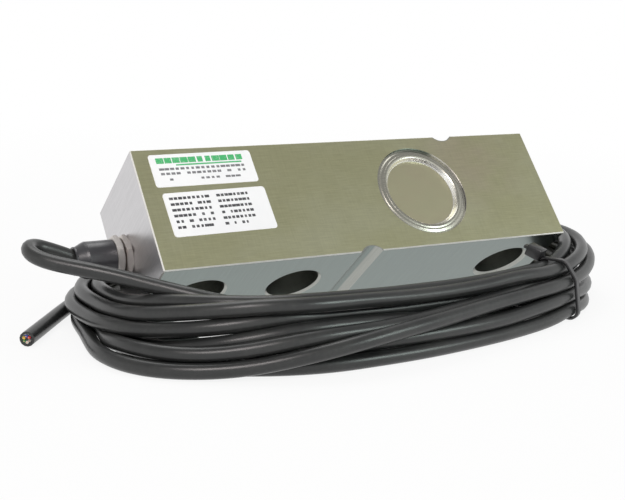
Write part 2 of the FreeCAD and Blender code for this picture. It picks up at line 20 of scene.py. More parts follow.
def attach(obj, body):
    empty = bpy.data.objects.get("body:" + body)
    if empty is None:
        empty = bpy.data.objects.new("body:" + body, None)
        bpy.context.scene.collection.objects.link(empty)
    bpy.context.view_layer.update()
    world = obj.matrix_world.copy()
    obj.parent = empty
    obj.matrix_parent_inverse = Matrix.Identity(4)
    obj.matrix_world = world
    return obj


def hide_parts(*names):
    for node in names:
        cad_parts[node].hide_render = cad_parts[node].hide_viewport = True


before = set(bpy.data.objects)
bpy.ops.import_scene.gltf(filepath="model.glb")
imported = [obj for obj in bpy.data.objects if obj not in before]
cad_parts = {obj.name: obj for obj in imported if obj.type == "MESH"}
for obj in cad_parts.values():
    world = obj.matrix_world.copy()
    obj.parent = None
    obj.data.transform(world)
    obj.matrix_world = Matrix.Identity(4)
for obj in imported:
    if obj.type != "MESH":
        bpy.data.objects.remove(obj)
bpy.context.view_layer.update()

LOG = logging.getLogger("load_cell")
MM = 0.001
BODY = "root"
Point = tuple[float, float, float]
Colour = tuple[float, float, float]
Span = tuple[float, float]
ORIGIN = (0.0, 0.0, 0.0)

# The parts of a noise's range, from 0 to 1, that its values mostly lie in.
NOISE_MIDDLE = (0.2, 0.8)
NOISE_CORE = (0.25, 0.75)


# ---- Where the cell lies -----------------------------------------------------------
# The sizes below are those of the cell as it stands upright: X along the beam from the
# cable end, Y in from the label face and Z up from the mounting face, in millimetres.
ROLL = math.radians(-42.0)
CELL_SHIFT = Vector((-75.85, -31.6652, 27.8358)) * MM
LAID = Matrix.Translation(CELL_SHIFT) @ Matrix.Rotation(ROLL, 4, "X")
UPRIGHT = (-ROLL, 0.0, 0.0)
ALONG_CELL = (1.0, 0.0, 0.0)
OUT_OF_LABEL = (0.0, -math.cos(ROLL), -math.sin(ROLL))
UP_THE_CELL = (0.0, -math.sin(ROLL), math.cos(ROLL))


def laid(place: Point) -> Point:
    """Give the place of a point of the upright cell, in millimetres, as it lies."""
    return tuple(LAID @ (Vector(place) * MM))


# ---- Camera ------------------------------------------------------------------------
@dataclass(frozen=True)
class CameraRig:
    """The one camera, placed by where it stands and how it is turned."""

    place: Point = (-0.222567, -0.388124, 0.126413)
    forward: Point = (0.48142, 0.8463, -0.22805)
    down: Point = (-0.08247, -0.2153, -0.97306)
    lens: float = 68.86
    sensor: float = 36.0
    clip_start: float = 0.01

    def build(self) -> bpy.types.Object:
        """Make the camera and hand it to the scene.

        Returns:
            The camera object.
        """
        data = bpy.data.cameras.new("camera")
        data.lens = self.lens
        data.sensor_width = self.sensor
        data.clip_start = self.clip_start
        camera = bpy.data.objects.new("camera", data)
        back = -Vector(self.forward).normalized()
        right = Vector(self.down).cross(back).normalized() * -1.0
        up = back.cross(right).normalized()
        turn = Matrix((right, up, back)).transposed().to_4x4()
        camera.matrix_world = Matrix.Translation(self.place) @ turn
        bpy.context.scene.collection.objects.link(camera)
        bpy.context.scene.camera = camera
        return camera


# ---- Finishes ----------------------------------------------------------------------
class Sheen(Enum):
    """How smooth a surface is left, as a roughness."""

    SATIN = 0.30
    LOW = 0.42
    DULL = 0.60


class Shader:
    """One node material, put together node by node."""

    def __init__(self, name: str) -> None:
        """Start a material with a plain principled surface."""
        self.material = bpy.data.materials.new(name)
        self.material.use_nodes = True
        self.nodes = self.material.node_tree.nodes
        self.links = self.material.node_tree.links
        self.surface = self.nodes["Principled BSDF"]
        self.place = self.nodes.new("ShaderNodeTexCoord").outputs["Object"]

    def join(self, source: object, target: bpy.types.NodeSocket) -> None:
        """Feed a socket from another, or give it a value.

        Args:
            source: The socket or the value.
            target: The socket that takes it.
        """
        if isinstance(source, bpy.types.NodeSocket):
            self.links.new(source, target)
        else:
            target.default_value = source

    def set(self, **values: object) -> None:
        """Set inputs of the surface by name, with _ for a space."""
        for name, value in values.items():
            self.join(value, self.surface.inputs[name.replace("_", " ")])

    def vector(self, kind: str, one: object, two: object = None) -> bpy.types.Node:
        """Add one step of arithmetic on vectors and give its node.

        Args:
            kind: The operation.
            one: The first vector.
            two: The second, if there is one.

        Returns:
            The node, whose outputs differ with the operation.
        """
        node = self.nodes.new("ShaderNodeVectorMath")
        node.operation = kind
        self.join(one, node.inputs[0])
        if two is not None:
            self.join(two, node.inputs[1])
        return node

    def stretched(self, scale: Point, turn: Point, shift: Point) -> bpy.types.NodeSocket:
        """Give the object's own coordinates, shifted, turned and scaled.

        Args:
            scale: The factor along each axis.
            turn: The turn about each axis, in radians.
            shift: The place that comes to the middle.

        Returns:
            The vector socket.
        """
        mapping = self.nodes.new("ShaderNodeMapping")
        self.join(self.vector("SUBTRACT", self.place, shift).outputs[0], mapping.inputs["Vector"])
        self.join(turn, mapping.inputs["Rotation"])
        return self.vector("MULTIPLY", mapping.outputs[0], scale).outputs[0]

    def noise(self, scale: Point, detail: float = 3.0, rough: float = 0.55,
              turn: Point = ORIGIN, shift: Point = ORIGIN) -> bpy.types.NodeSocket:
        """Give a noise from 0 to 1 over the stretched coordinates of the object.

        Args:
            scale: How fine it is along each axis, per metre.
            detail: How many octaves it has.
            rough: How much the finer octaves count.
            turn: The turn about each axis.
            shift: The place that comes to the middle.

        Returns:
            The noise.
        """
        node = self.nodes.new("ShaderNodeTexNoise")
        self.join(self.stretched(scale, turn, shift), node.inputs["Vector"])
        self.join(1.0, node.inputs["Scale"])
        self.join(detail, node.inputs["Detail"])
        self.join(rough, node.inputs["Roughness"])
        return node.outputs["Fac"]

    def sum(self, kind: str, one: object, two: object = 0.0) -> bpy.types.NodeSocket:
        """Give one step of arithmetic on two values.

        Args:
            kind: The operation.
            one: The first value.
            two: The second value.

        Returns:
            The result.
        """
        node = self.nodes.new("ShaderNodeMath")
        node.operation = kind
        self.join(one, node.inputs[0])
        self.join(two, node.inputs[1])
        return node.outputs[0]

    def product(self, one: object, two: object) -> bpy.types.NodeSocket:
        """Give one value times another."""
        return self.sum("MULTIPLY", one, two)

    def rest(self, value: object) -> bpy.types.NodeSocket:
        """Give what a share leaves of the whole."""
        return self.sum("SUBTRACT", 1.0, value)

    def largest(self, *values: object) -> bpy.types.NodeSocket:
        """Give the largest of some values.

        Args:
            values: The values, one or more.

        Returns:
            The largest.
        """
        top = values[0]
        for value in values[1:]:
            top = self.sum("MAXIMUM", top, value)
        return top

    def between(self, value: object, low: float, high: float, to_low: float = 0.0,
                to_high: float = 1.0) -> bpy.types.NodeSocket:
        """Give a value eased from one range to another.

        Args:
            value: The value.
            low: Where its own range starts.
            high: Where it ends.
            to_low: What the start becomes.
            to_high: What the end becomes.

        Returns:
            The eased value.
        """
        node = self.nodes.new("ShaderNodeMapRange")
        node.interpolation_type = "SMOOTHSTEP"
        for name, number in (("Value", value), ("From Min", low), ("From Max", high),
                             ("To Min", to_low), ("To Max", to_high)):
            self.join(number, node.inputs[name])
        return node.outputs["Result"]

    def mix(self, share: object, one: object, two: object) -> bpy.types.NodeSocket:
        """Give a colour between two others.

        Args:
            share: How much of the second colour there is.
            one: The first colour.
            two: The second colour.

        Returns:
            The mixed colour.
        """
        node = self.nodes.new("ShaderNodeMix")
        node.data_type = "RGBA"
        for source, target in ((share, 0), (one, 6), (two, 7)):
            if isinstance(source, tuple) and len(source) == 3:
                source = (*source, 1.0)
            self.join(source, node.inputs[target])
        return node.outputs[2]

    def facing(self, direction: Point) -> bpy.types.NodeSocket:
        """Give how far the surface faces a direction of the object, from -1 to 1."""
        normal = self.nodes.new("ShaderNodeTexCoord").outputs["Normal"]
        return self.vector("DOT_PRODUCT", normal, direction).outputs["Value"]

    def away(self, centre: Point, axis: Point) -> bpy.types.NodeSocket:
        """Give the distance from a line through a point, in metres.

        Args:
            centre: The point.
            axis: The direction of the line, of length one.

        Returns:
            The distance.
        """
        arm = self.vector("SUBTRACT", self.place, centre)
        cross = self.vector("CROSS_PRODUCT", arm.outputs[0], axis)
        return self.vector("LENGTH", cross.outputs[0]).outputs["Value"]

    def bump(self, height: bpy.types.NodeSocket, depth: float, strength: float = 1.0) -> None:
        """Raise the surface by a height, in metres of depth.

        Args:
            height: The height, from 0 to 1.
            depth: How deep the whole height is.
            strength: How much of it is felt.
        """
        node = self.nodes.new("ShaderNodeBump")
        self.join(strength, node.inputs["Strength"])
        self.join(depth, node.inputs["Distance"])
        self.join(height, node.inputs["Height"])
        self.join(node.outputs[0], self.surface.inputs["Normal"])


@dataclass(frozen=True)
class Moulded:
    """A moulded or extruded plastic or rubber: even, with a faint mottle."""

    name: str
    colour: Colour
    sheen: Sheen = Sheen.LOW
    specular: float = 0.5
    mottle: float = 0.25
    clouds: float = 120.0
    gloss_spread: Span = (-0.05, 0.07)
    grain: float = 900.0
    depth: float = 0.00003
    relief: float = 0.25

    def build(self) -> bpy.types.Material:
        """Make the material.

        Returns:
            The material.
        """
        shader = Shader(self.name)
        cloud = shader.noise((self.clouds,) * 3)
        dark = tuple(c * (1 - self.mottle) for c in self.colour)
        light = tuple(min(1.0, c * (1 + self.mottle)) for c in self.colour)
        shader.set(Base_Color=shader.mix(cloud, dark, light))
        low, high = (self.sheen.value + step for step in self.gloss_spread)
        shader.set(Roughness=shader.between(cloud, 0, 1, low, high))
        shader.set(Specular_IOR_Level=self.specular)
        shader.bump(shader.noise((self.grain,) * 3, detail=2.0), self.depth, self.relief)
        return shader.material


@dataclass(frozen=True)
class GroundSteel:
    """The plated beam: each ground face with its own grain, tint and handling marks, with painted
    shade on the mounting face and painted highlights on the broken edges.
    """

    name: str = "ground_plated_steel"
    label_face: Colour = (0.52, 0.51, 0.315)
    cable_end: Colour = (0.60, 0.59, 0.60)
    # Painted shade: the mounting face looks down at the coil and the floor, so its colour is
    # darkened for their shade and dark reflection.
    shaded_mounting_face: Colour = (0.235, 0.275, 0.26)
    # Painted highlight: the broken edges are near white and partly diffuse, so they stay bright as
    # if light glinted on them.
    bore_wall: Colour = (0.40, 0.41, 0.38)
    edge: Colour = (0.88, 0.87, 0.82)
    rosy: Colour = (0.52, 0.43, 0.31)
    bright: Colour = (0.62, 0.62, 0.46)
    bores: tuple[float, ...] = (19.05, 57.15, 152.4)
    middle: float = 21.0
    bore_reach: float = 11.9
    grooves: tuple[Span, ...] = ((81.4, -3.4), (131.3, 51.4))
    groove_reach: float = 6.0
    rim_blend: float = 0.3
    flat: Span = (0.93, 0.98)
    broken: Span = (0.78, 0.9)
    turned_to: Span = (0.6, 0.9)
    grain_along: Point = (130.0, 60.0, 2400.0)
    grain_across: Point = (2400.0, 60.0, 300.0)
    grain_end: Point = (1500.0, 1500.0, 60.0)
    grain_rough: float = 0.65
    cross_share: float = 0.4
    clouds: Point = (26.0, 26.0, 40.0)
    rose_place: Point = (140.0, 0.0, 37.0)
    rose_reach: float = 0.032
    rose_clouds: Span = (0.35, 0.7)
    bright_clouds: Span = (0.35, 0.75)
    bright_share: float = 0.40
    wear: Span = (0.88, 1.12)
    gloss: Span = (0.29, 0.37)
    edge_highlight_metal: float = 0.35
    depth: float = 0.00002
    relief: float = 0.12

    def cut(self, shader: Shader) -> bpy.types.NodeSocket:
        """Give where the surface is near a bore or a groove.

        Args:
            shader: The material in hand.

        Returns:
            A share, 1 inside the reach of a bore or a groove.
        """
        across = (0.0, math.cos(ROLL), math.sin(ROLL))
        spots = [(laid((x, self.middle, 0.0)), UP_THE_CELL, self.bore_reach) for x in self.bores]
        spots += [(laid((x, 0.0, z)), across, self.groove_reach) for x, z in self.grooves]
        return shader.largest(*(
            shader.between(shader.away(centre, axis), (reach - self.rim_blend) * MM, reach * MM,
                           1.0, 0.0)
            for centre, axis, reach in spots))

    def masks(self, shader: Shader) -> tuple[bpy.types.NodeSocket, ...]:
        """Give where the end, the mounting face, the bores and the broken edges are.

        Args:
            shader: The material in hand.

        Returns:
            One share for each of the four.
        """
        up = shader.facing(UP_THE_CELL)
        end = shader.facing(tuple(-c for c in ALONG_CELL))
        faces = [shader.sum("ABSOLUTE", way) for way in (up, shader.facing(OUT_OF_LABEL), end)]
        cut = self.cut(shader)
        flat = shader.between(faces[0], *self.flat)
        # The broken edges, where the edge highlight is painted.
        edge = shader.between(shader.largest(*faces), *self.broken, 1.0, 0.0)
        some, most = self.turned_to
        return (shader.between(end, some, most), shader.between(up, -most, -some, 1.0, 0.0),
                shader.product(cut, shader.rest(flat)), shader.product(edge, shader.rest(cut)))

    def ground(self, shader: Shader, under: bpy.types.NodeSocket) -> bpy.types.NodeSocket:
        """Give the grain: along the label face, across the mounting face, crossed faintly.

        Args:
            shader: The material in hand.
            under: Where the mounting face is.

        Returns:
            The height of the grain.
        """
        along, across = (
            shader.noise(scale, detail=4.0, rough=self.grain_rough, turn=UPRIGHT, shift=CELL_SHIFT)
            for scale in (self.grain_along, self.grain_across))
        upon = shader.noise(self.grain_end, turn=UPRIGHT, shift=CELL_SHIFT)
        lean = shader.product(upon, shader.rest(under))
        cross = shader.product(shader.sum("ADD", across, lean), 0.5)
        main = shader.sum("ADD", shader.product(along, shader.rest(under)),
                          shader.product(across, under))
        return shader.sum("ADD", shader.product(main, 1 - self.cross_share),
                          shader.product(cross, self.cross_share))

    def build(self) -> bpy.types.Material:
        """Make the material.

        Returns:
            The material.
        """
        shader = Shader(self.name)
        end, under, wall, edge = self.masks(shader)
        grain = self.ground(shader, under)
        cloud = shader.noise(self.clouds, turn=UPRIGHT, shift=CELL_SHIFT)
        rose = shader.away(laid(self.rose_place), OUT_OF_LABEL)
        rose = shader.product(shader.between(rose, self.rose_reach, 0.0),
                              shader.between(cloud, *self.rose_clouds))
        worn_bright = shader.between(cloud, *self.bright_clouds, 0.0, self.bright_share)
        face = self.label_face
        # Over the label face: rosy and bright clouds, painted shade on the mounting face, the
        # cable end, the bore walls and painted highlights on the broken edges.
        for share, colour in ((rose, self.rosy), (worn_bright, self.bright),
                              (under, self.shaded_mounting_face), (end, self.cable_end),
                              (wall, self.bore_wall), (edge, self.edge)):
            face = shader.mix(share, face, colour)
        scaled = shader.vector("SCALE", face)
        shader.join(shader.between(grain, *NOISE_CORE, *self.wear), scaled.inputs["Scale"])
        # Painted highlight: the broken edges lose some metal, so their pale colour shows bright
        # under any lamp.
        shader.set(Metallic=shader.between(edge, 0.0, 1.0, 1.0, self.edge_highlight_metal))
        shader.set(Base_Color=scaled.outputs[0])
        shader.set(Roughness=shader.between(grain, *NOISE_MIDDLE, *self.gloss))
        shader.bump(grain, self.depth, self.relief)
        return shader.material


@dataclass(frozen=True)
class PressedCover:
    """The pressed pocket covers: a satin disc inside thin rolled rings."""

    name: str = "pressed_cover_steel"
    disc: Colour = (0.56, 0.535, 0.36)
    ring: Colour = (0.44, 0.43, 0.37)
    fillet: Colour = (0.86, 0.85, 0.82)
    tan: Colour = (0.58, 0.50, 0.36)
    centre: Point = (112.8, 0.0, 24.0)
    disc_radius: float = 14.2
    rim_blend: float = 0.3
    fillet_width: float = 0.7
    roll_pitch: float = 1.55
    clouds: float = 60.0
    grain: Point = (160.0, 60.0, 2200.0)
    gloss: Span = (0.34, 0.27)
    gloss_spread: Span = (-0.03, 0.05)
    depth: float = 0.00010
    relief: float = 0.5

    def build(self) -> bpy.types.Material:
        """Make the material.

        Returns:
            The material.
        """
        shader = Shader(self.name)
        far = shader.away(laid(self.centre), OUT_OF_LABEL)
        rim, past_rim = self.disc_radius, self.disc_radius + self.fillet_width
        edge = shader.between(far, (rim - self.rim_blend * 2 / 3) * MM,
                              (rim + self.rim_blend / 3) * MM)
        past = shader.between(far, past_rim * MM, (past_rim + self.rim_blend) * MM)
        cloud = shader.noise((self.clouds,) * 3)
        grain = shader.noise(self.grain, turn=UPRIGHT, shift=CELL_SHIFT)
        base = shader.mix(shader.between(cloud, 0.3, 0.7, 0.0, 0.5), self.disc, self.tan)
        rings = shader.mix(past, self.fillet, self.ring)
        shader.set(Metallic=1.0, Base_Color=shader.mix(edge, base, rings))
        worn = shader.between(edge, 0.0, 1.0, *self.gloss)
        spread = shader.between(grain, *NOISE_MIDDLE, *self.gloss_spread)
        shader.set(Roughness=shader.sum("ADD", worn, spread))
        roll = shader.sum("SINE", shader.product(far, 2 * math.pi / (self.roll_pitch * MM)))
        relief = shader.sum("ADD", shader.product(roll, edge), shader.product(grain, 0.1))
        shader.bump(relief, self.depth, self.relief)
        return shader.material


@dataclass(frozen=True)
class Plated:
    """A small plated or bare metal piece with a soft mottle."""

    name: str
    colour: Colour
    sheen: Sheen = Sheen.SATIN
    tarnish: Colour = (0.3, 0.26, 0.2)
    marks: float = 0.25
    clouds: float = 260.0
    turned: Point = (3000.0, 300.0, 300.0)
    gloss_spread: float = 0.06
    depth: float = 0.00001
    relief: float = 0.08

    def build(self) -> bpy.types.Material:
        """Make the material.

        Returns:
            The material.
        """
        shader = Shader(self.name)
        cloud = shader.noise((self.clouds,) * 3, detail=4.0, rough=0.6)
        turned = shader.noise(self.turned, detail=2.0)
        stain = shader.between(cloud, 0.5, 0.8, 0.0, self.marks)
        shader.set(Metallic=1.0, Base_Color=shader.mix(stain, self.colour, self.tarnish))
        low, high = self.sheen.value - self.gloss_spread, self.sheen.value + self.gloss_spread
        shader.set(Roughness=shader.between(turned, *NOISE_MIDDLE, low, high))
        shader.bump(turned, self.depth, self.relief)
        return shader.material


@dataclass(frozen=True)
class CableJacket:
    """The dark jacket of the cable: low sheen, dusty in places, faintly uneven."""

    name: str = "cable_jacket"
    dark: Colour = (0.020, 0.021, 0.021)
    dusty: Colour = (0.031, 0.032, 0.031)
    clouds: float = 55.0
    grain: float = 700.0
    gloss: Span = (0.27, 0.34)
    specular: float = 0.5
    depth: float = 0.0001
    relief: float = 0.15

    def build(self) -> bpy.types.Material:
        """Make the material.

        Returns:
            The material.
        """
        shader = Shader(self.name)
        cloud = shader.noise((self.clouds,) * 3, detail=4.0, rough=0.6)
        fine = shader.noise((self.grain,) * 3)
        dust = shader.product(cloud, shader.sum("ADD", fine, 0.5))
        dust = shader.between(dust, 0.3, 0.75)
        shader.set(Base_Color=shader.mix(dust, self.dark, self.dusty))
        shader.set(Roughness=shader.between(cloud, *NOISE_CORE, *self.gloss))
        shader.set(Specular_IOR_Level=self.specular)
        uneven = shader.sum("ADD", cloud, shader.product(fine, 0.05))
        shader.bump(uneven, self.depth, self.relief)
        return shader.material


@dataclass(frozen=True)
class LabelFilm:
    """White printed film: smooth, faintly clouded, a little wavy."""

    name: str = "label_film"
    shade: Colour = (0.80, 0.80, 0.82)
    white: Colour = (0.88, 0.88, 0.88)
    clouds: float = 70.0
    grain: float = 1500.0
    gloss: Span = (0.34, 0.44)
    depth: float = 0.00008
    relief: float = 0.15

    def build(self) -> bpy.types.Material:
        """Make the material.

        Returns:
            The material.
        """
        shader = Shader(self.name)
        cloud = shader.noise((self.clouds,) * 3, detail=2.0)
        fine = shader.noise((self.grain,) * 3, detail=2.0)
        shader.set(Base_Color=shader.mix(cloud, self.shade, self.white))
        shader.set(Roughness=shader.between(fine, *NOISE_MIDDLE, *self.gloss))
        shader.bump(cloud, self.depth, self.relief)
        return shader.material


INK_COVER = 0.55
FILM_SHADE = 0.7


class Ink(Enum):
    """The inks of the labels' plain marks."""

    GREEN = (0.05, 0.42, 0.14)
    GREY = (0.16, 0.16, 0.17)
    DARK = (0.035, 0.035, 0.04)

    def build(self) -> bpy.types.Material:
        """Make the ink's material, uneven as thin print is.

        Returns:
            The material.
        """
        shader = Shader("ink_" + self.name.lower())
        thin = shader.noise((1800, 1800, 1800))
        pale = tuple(INK_COVER * c + (1 - INK_COVER) * FILM_SHADE for c in self.value)
        worn = shader.between(thin, 0.45, 0.75, 0.0, 0.6)
        shader.set(Base_Color=shader.mix(worn, self.value, pale))
        shader.set(Roughness=shader.between(thin, *NOISE_MIDDLE, 0.38, 0.48))
        return shader.material


Finish = Moulded | GroundSteel | PressedCover | Plated | CableJacket | LabelFilm
GAUGE_AMBER = (0.45, 0.22, 0.04)
WIRE_BEIGE = (0.60, 0.55, 0.42)
NODE_FINISHES: dict[str, Finish] = {
    "beam_body": GroundSteel(),
    "front_pocket_cover": PressedCover(),
    "rear_pocket_cover": PressedCover(name="pressed_cover_rear"),
    "gland_body": Plated("gland_nickel", (0.62, 0.58, 0.55), Sheen.LOW),
    "gland_nut": Plated("gland_nut_nickel", (0.62, 0.59, 0.56), Sheen.LOW),
    "relief_sleeve": Moulded("sleeve_black", (0.030, 0.030, 0.034), Sheen.SATIN, 0.7),
    "entry_cable": CableJacket("entry_jacket"),
    "gland_ring": Moulded("ring_rubber", (0.02, 0.02, 0.02), Sheen.DULL, 0.3),
    "gland_seal": Moulded("seal_rubber", (0.025, 0.025, 0.025), Sheen.DULL, 0.3),
    "gland_washer": Moulded("washer_nylon", (0.62, 0.60, 0.53), Sheen.LOW),
    "upper_label": LabelFilm("upper_film"),
    "lower_label": LabelFilm("lower_film"),
    "cable_shield": Plated("braid_tinned", (0.62, 0.62, 0.60), Sheen.LOW),
    "core_conductors": Plated("core_copper", (0.75, 0.40, 0.24), Sheen.LOW),
    "core_red": Moulded("core_red", (0.50, 0.02, 0.02)),
    "core_blue": Moulded("core_blue", (0.02, 0.06, 0.36)),
    "core_yellow": Moulded("core_yellow", (0.62, 0.44, 0.03)),
    "core_green": Moulded("core_green", (0.02, 0.22, 0.05)),
    "core_white": Moulded("core_white", (0.72, 0.71, 0.66)),
    "core_grey": Moulded("core_grey", (0.25, 0.25, 0.24)),
    "front_strain_gauge": Moulded("front_gauge_film", GAUGE_AMBER, Sheen.SATIN),
    "rear_strain_gauge": Moulded("rear_gauge_film", GAUGE_AMBER, Sheen.SATIN),
    "terminal_board": Moulded("board_laminate", (0.02, 0.13, 0.05), Sheen.SATIN),
    "trim_resistors": Moulded("resistor_body", (0.02, 0.02, 0.02), Sheen.LOW),
    "jumper_wires": Moulded("jumper_insulation", WIRE_BEIGE),
    "link_wires": Moulded("link_insulation", WIRE_BEIGE),
    "channel_wires": Moulded("channel_insulation", WIRE_BEIGE),
}


def dress_nodes() -> int:
    """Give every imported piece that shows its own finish.

    Returns:
        How many pieces were dressed.
    """
    for name, finish in NODE_FINISHES.items():
        piece = bpy.data.objects[name]
        material = finish.build()
        for slot in piece.material_slots:
            slot.material = material
    return len(NODE_FINISHES)


# ---- Shape helpers -----------------------------------------------------------------
class Tree:
    """One Geometry Nodes tree with named inputs, put together node by node."""

    def __init__(self, name: str) -> None:
        """Start a tree that gives back one geometry.

        Args:
            name: The name of the tree.
        """
        self.group = bpy.data.node_groups.new(name, "GeometryNodeTree")
        self.group.interface.new_socket("Geometry", in_out="OUTPUT",
                                        socket_type="NodeSocketGeometry")
        self.keys: dict[str, str] = {}
        self.entry = self.group.nodes.new("NodeGroupInput")

    def input(self, name: str, value: float | int, whole: bool = False) -> bpy.types.NodeSocket:
        """Add a named number to the tree and give its socket.

        Args:
            name: The name of the input.
            value: What it is unless set.
            whole: Whether it is a whole number.

        Returns:
            The socket inside the tree.
        """
        kind = "NodeSocketInt" if whole else "NodeSocketFloat"
        socket = self.group.interface.new_socket(name, in_out="INPUT", socket_type=kind)
        socket.default_value = value
        self.keys[name] = socket.identifier
        return self.entry.outputs[name]

    def node(self, kind: str, settings: dict[str, object] | None = None,
             **inputs: object) -> bpy.types.Node:
        """Add a node, with its settings and with its inputs by name.

        Args:
            kind: The type of the node.
            settings: Its own settings.
            inputs: Its inputs by name, with _ for a space.

        Returns:
            The node.
        """
        node = self.group.nodes.new(kind)
        for name, value in (settings or {}).items():
            setattr(node, name, value)
        for name, value in inputs.items():
            socket = node.inputs[name.replace("_", " ")]
            if isinstance(value, bpy.types.NodeSocket):
                self.group.links.new(value, socket)
            else:
                socket.default_value = value
        return node

    def sum(self, kind: str, one: object, two: object) -> bpy.types.NodeSocket:
        """Add one step of arithmetic on two numbers and give its result.

        Args:
            kind: The operation.
            one: The first number.
            two: The second number.

        Returns:
            The result.
        """
        step = self.node("ShaderNodeMath", {"operation": kind})
        for value, socket in zip((one, two), step.inputs):
            if isinstance(value, bpy.types.NodeSocket):
                self.group.links.new(value, socket)
            else:
                socket.default_value = value
        return step.outputs[0]

    def close(self, geometry: bpy.types.NodeSocket, material: bpy.types.Material) -> None:
        """End the tree in plain geometry with its material.

        Args:
            geometry: What the tree has made.
            material: Its material.
        """
        real = self.node("GeometryNodeRealizeInstances", Geometry=geometry)
        dressed = self.node("GeometryNodeSetMaterial", Geometry=real.outputs[0])
        dressed.inputs["Material"].default_value = material
        leave = self.group.nodes.new("NodeGroupOutput")
        self.group.links.new(dressed.outputs[0], leave.inputs[0])

    def grow(self, name: str, place: Matrix, values: dict[str, float]) -> bpy.types.Object:
        """Make one plain mesh from the tree.

        Args:
            name: The name of the piece.
            place: Where the tree's own origin and axes go.
            values: The inputs by name.

        Returns:
            The piece, at the origin, with its place in its mesh.
        """
        seed = bpy.data.objects.new(name + "_seed", bpy.data.meshes.new(name + "_seed"))
        bpy.context.scene.collection.objects.link(seed)
        modifier = seed.modifiers.new("grow", "NODES")
        modifier.node_group = self.group
        for key, value in values.items():
            modifier[self.keys[key]] = value
        bpy.context.view_layer.update()
        ready = seed.evaluated_get(bpy.context.evaluated_depsgraph_get())
        mesh = bpy.data.meshes.new_from_object(ready)
        seed.modifiers.remove(modifier)
        bpy.data.objects.remove(seed)
        mesh.transform(place)
        mesh.name = name
        piece = bpy.data.objects.new(name, mesh)
        bpy.context.scene.collection.objects.link(piece)
        return piece


SHARP = math.radians(40)


def as_piece(name: str, mesh: bmesh.types.BMesh, material: bpy.types.Material,
             smooth: bool = True) -> bpy.types.Object:
    """Turn a mesh into a piece with its material.

    Args:
        name: The name of the piece.
        mesh: The mesh, in row coordinates, in metres.
        material: Its material.
        smooth: Whether its curved faces are shaded smooth.

    Returns:
        The piece.
    """
    data = bpy.data.meshes.new(name)
    mesh.to_mesh(data)
    mesh.free()
    data.materials.append(material)
    piece = bpy.data.objects.new(name, data)
    bpy.context.scene.collection.objects.link(piece)
    if smooth:
        data.shade_smooth()
        data.set_sharp_from_angle(angle=SHARP)
    return piece


# ---- Cable -------------------------------------------------------------------------
NO_LENGTH = 1e-6
TOUCH = 1e-3


@dataclass(frozen=True)
class Bend:
    """One round end of the line that the coil's lanes are counted from."""

    x: float
    y: float
    radius: float


@dataclass
class CoilLine:
    """A closed line of arcs and straights, walked from the middle of the left side."""

    front_left: Bend = Bend(-37.3, -20.5, 61.0)
    front_right: Bend = Bend(52.2, -0.5, 68.5)
    back_right: Bend = Bend(80.7, 3.5, 40.0)
    back_left: Bend = Bend(-56.3, 1.5, 42.0)
    stretches: list = field(default_factory=list)
    length: float = 0.0

    def __post_init__(self) -> None:
        """Work out the stretches of the line."""
        bends = (self.front_left, self.front_right, self.back_right, self.back_left)
        one, two = bends[0], bends[1]
        span = math.hypot(two.x - one.x, two.y - one.y)
        lean = math.acos((one.radius - two.radius) / span)
        front = math.atan2(two.y - one.y, two.x - one.x) - lean
        turns = [(-math.pi, front), (front, 0.0), (0.0, math.pi / 2), (math.pi / 2, math.pi)]
        ends = [(self.rim(b, t0), self.rim(b, t1)) for b, (t0, t1) in zip(bends, turns)]
        middle = (ends[0][0] + ends[3][1]) / 2
        place = middle
        for bend, turn, (first, last) in zip(bends, turns, ends):
            self.add(np.linalg.norm(first - place), ("straight", place, first))
            self.add(bend.radius * (turn[1] - turn[0]), ("arc", bend, turn))
            place = last
        self.add(np.linalg.norm(middle - place), ("straight", place, middle))

    @staticmethod
    def rim(bend: Bend, angle: float) -> np.ndarray:
        """Give the point of a bend at an angle."""
        reach = np.array([math.cos(angle), math.sin(angle)])
        return np.array([bend.x, bend.y]) + bend.radius * reach

    def add(self, length: float, stretch: tuple) -> None:
        """Add one stretch, unless it has no length.

        Args:
            length: Its length.
            stretch: Its kind, and where it starts and ends.
        """
        if length > NO_LENGTH:
            self.stretches.append((float(length), stretch))
            self.length += float(length)

    def at(self, walked: float) -> tuple[np.ndarray, np.ndarray]:
        """Find a place on the line.

        Args:
            walked: The way along the line, in millimetres.

        Returns:
            The point and the direction into the coil there.
        """
        left = walked % self.length
        for length, (kind, one, two) in self.stretches:
            if left <= length:
                break
            left -= length
        if kind == "straight":
            along = (two - one) / length
            return one + along * left, np.array([-along[1], along[0]])
        angle = two[0] + (two[1] - two[0]) * left / length
        out = np.array([math.cos(angle), math.sin(angle)])
        return np.array([one.x, one.y]) + one.radius * out, -out


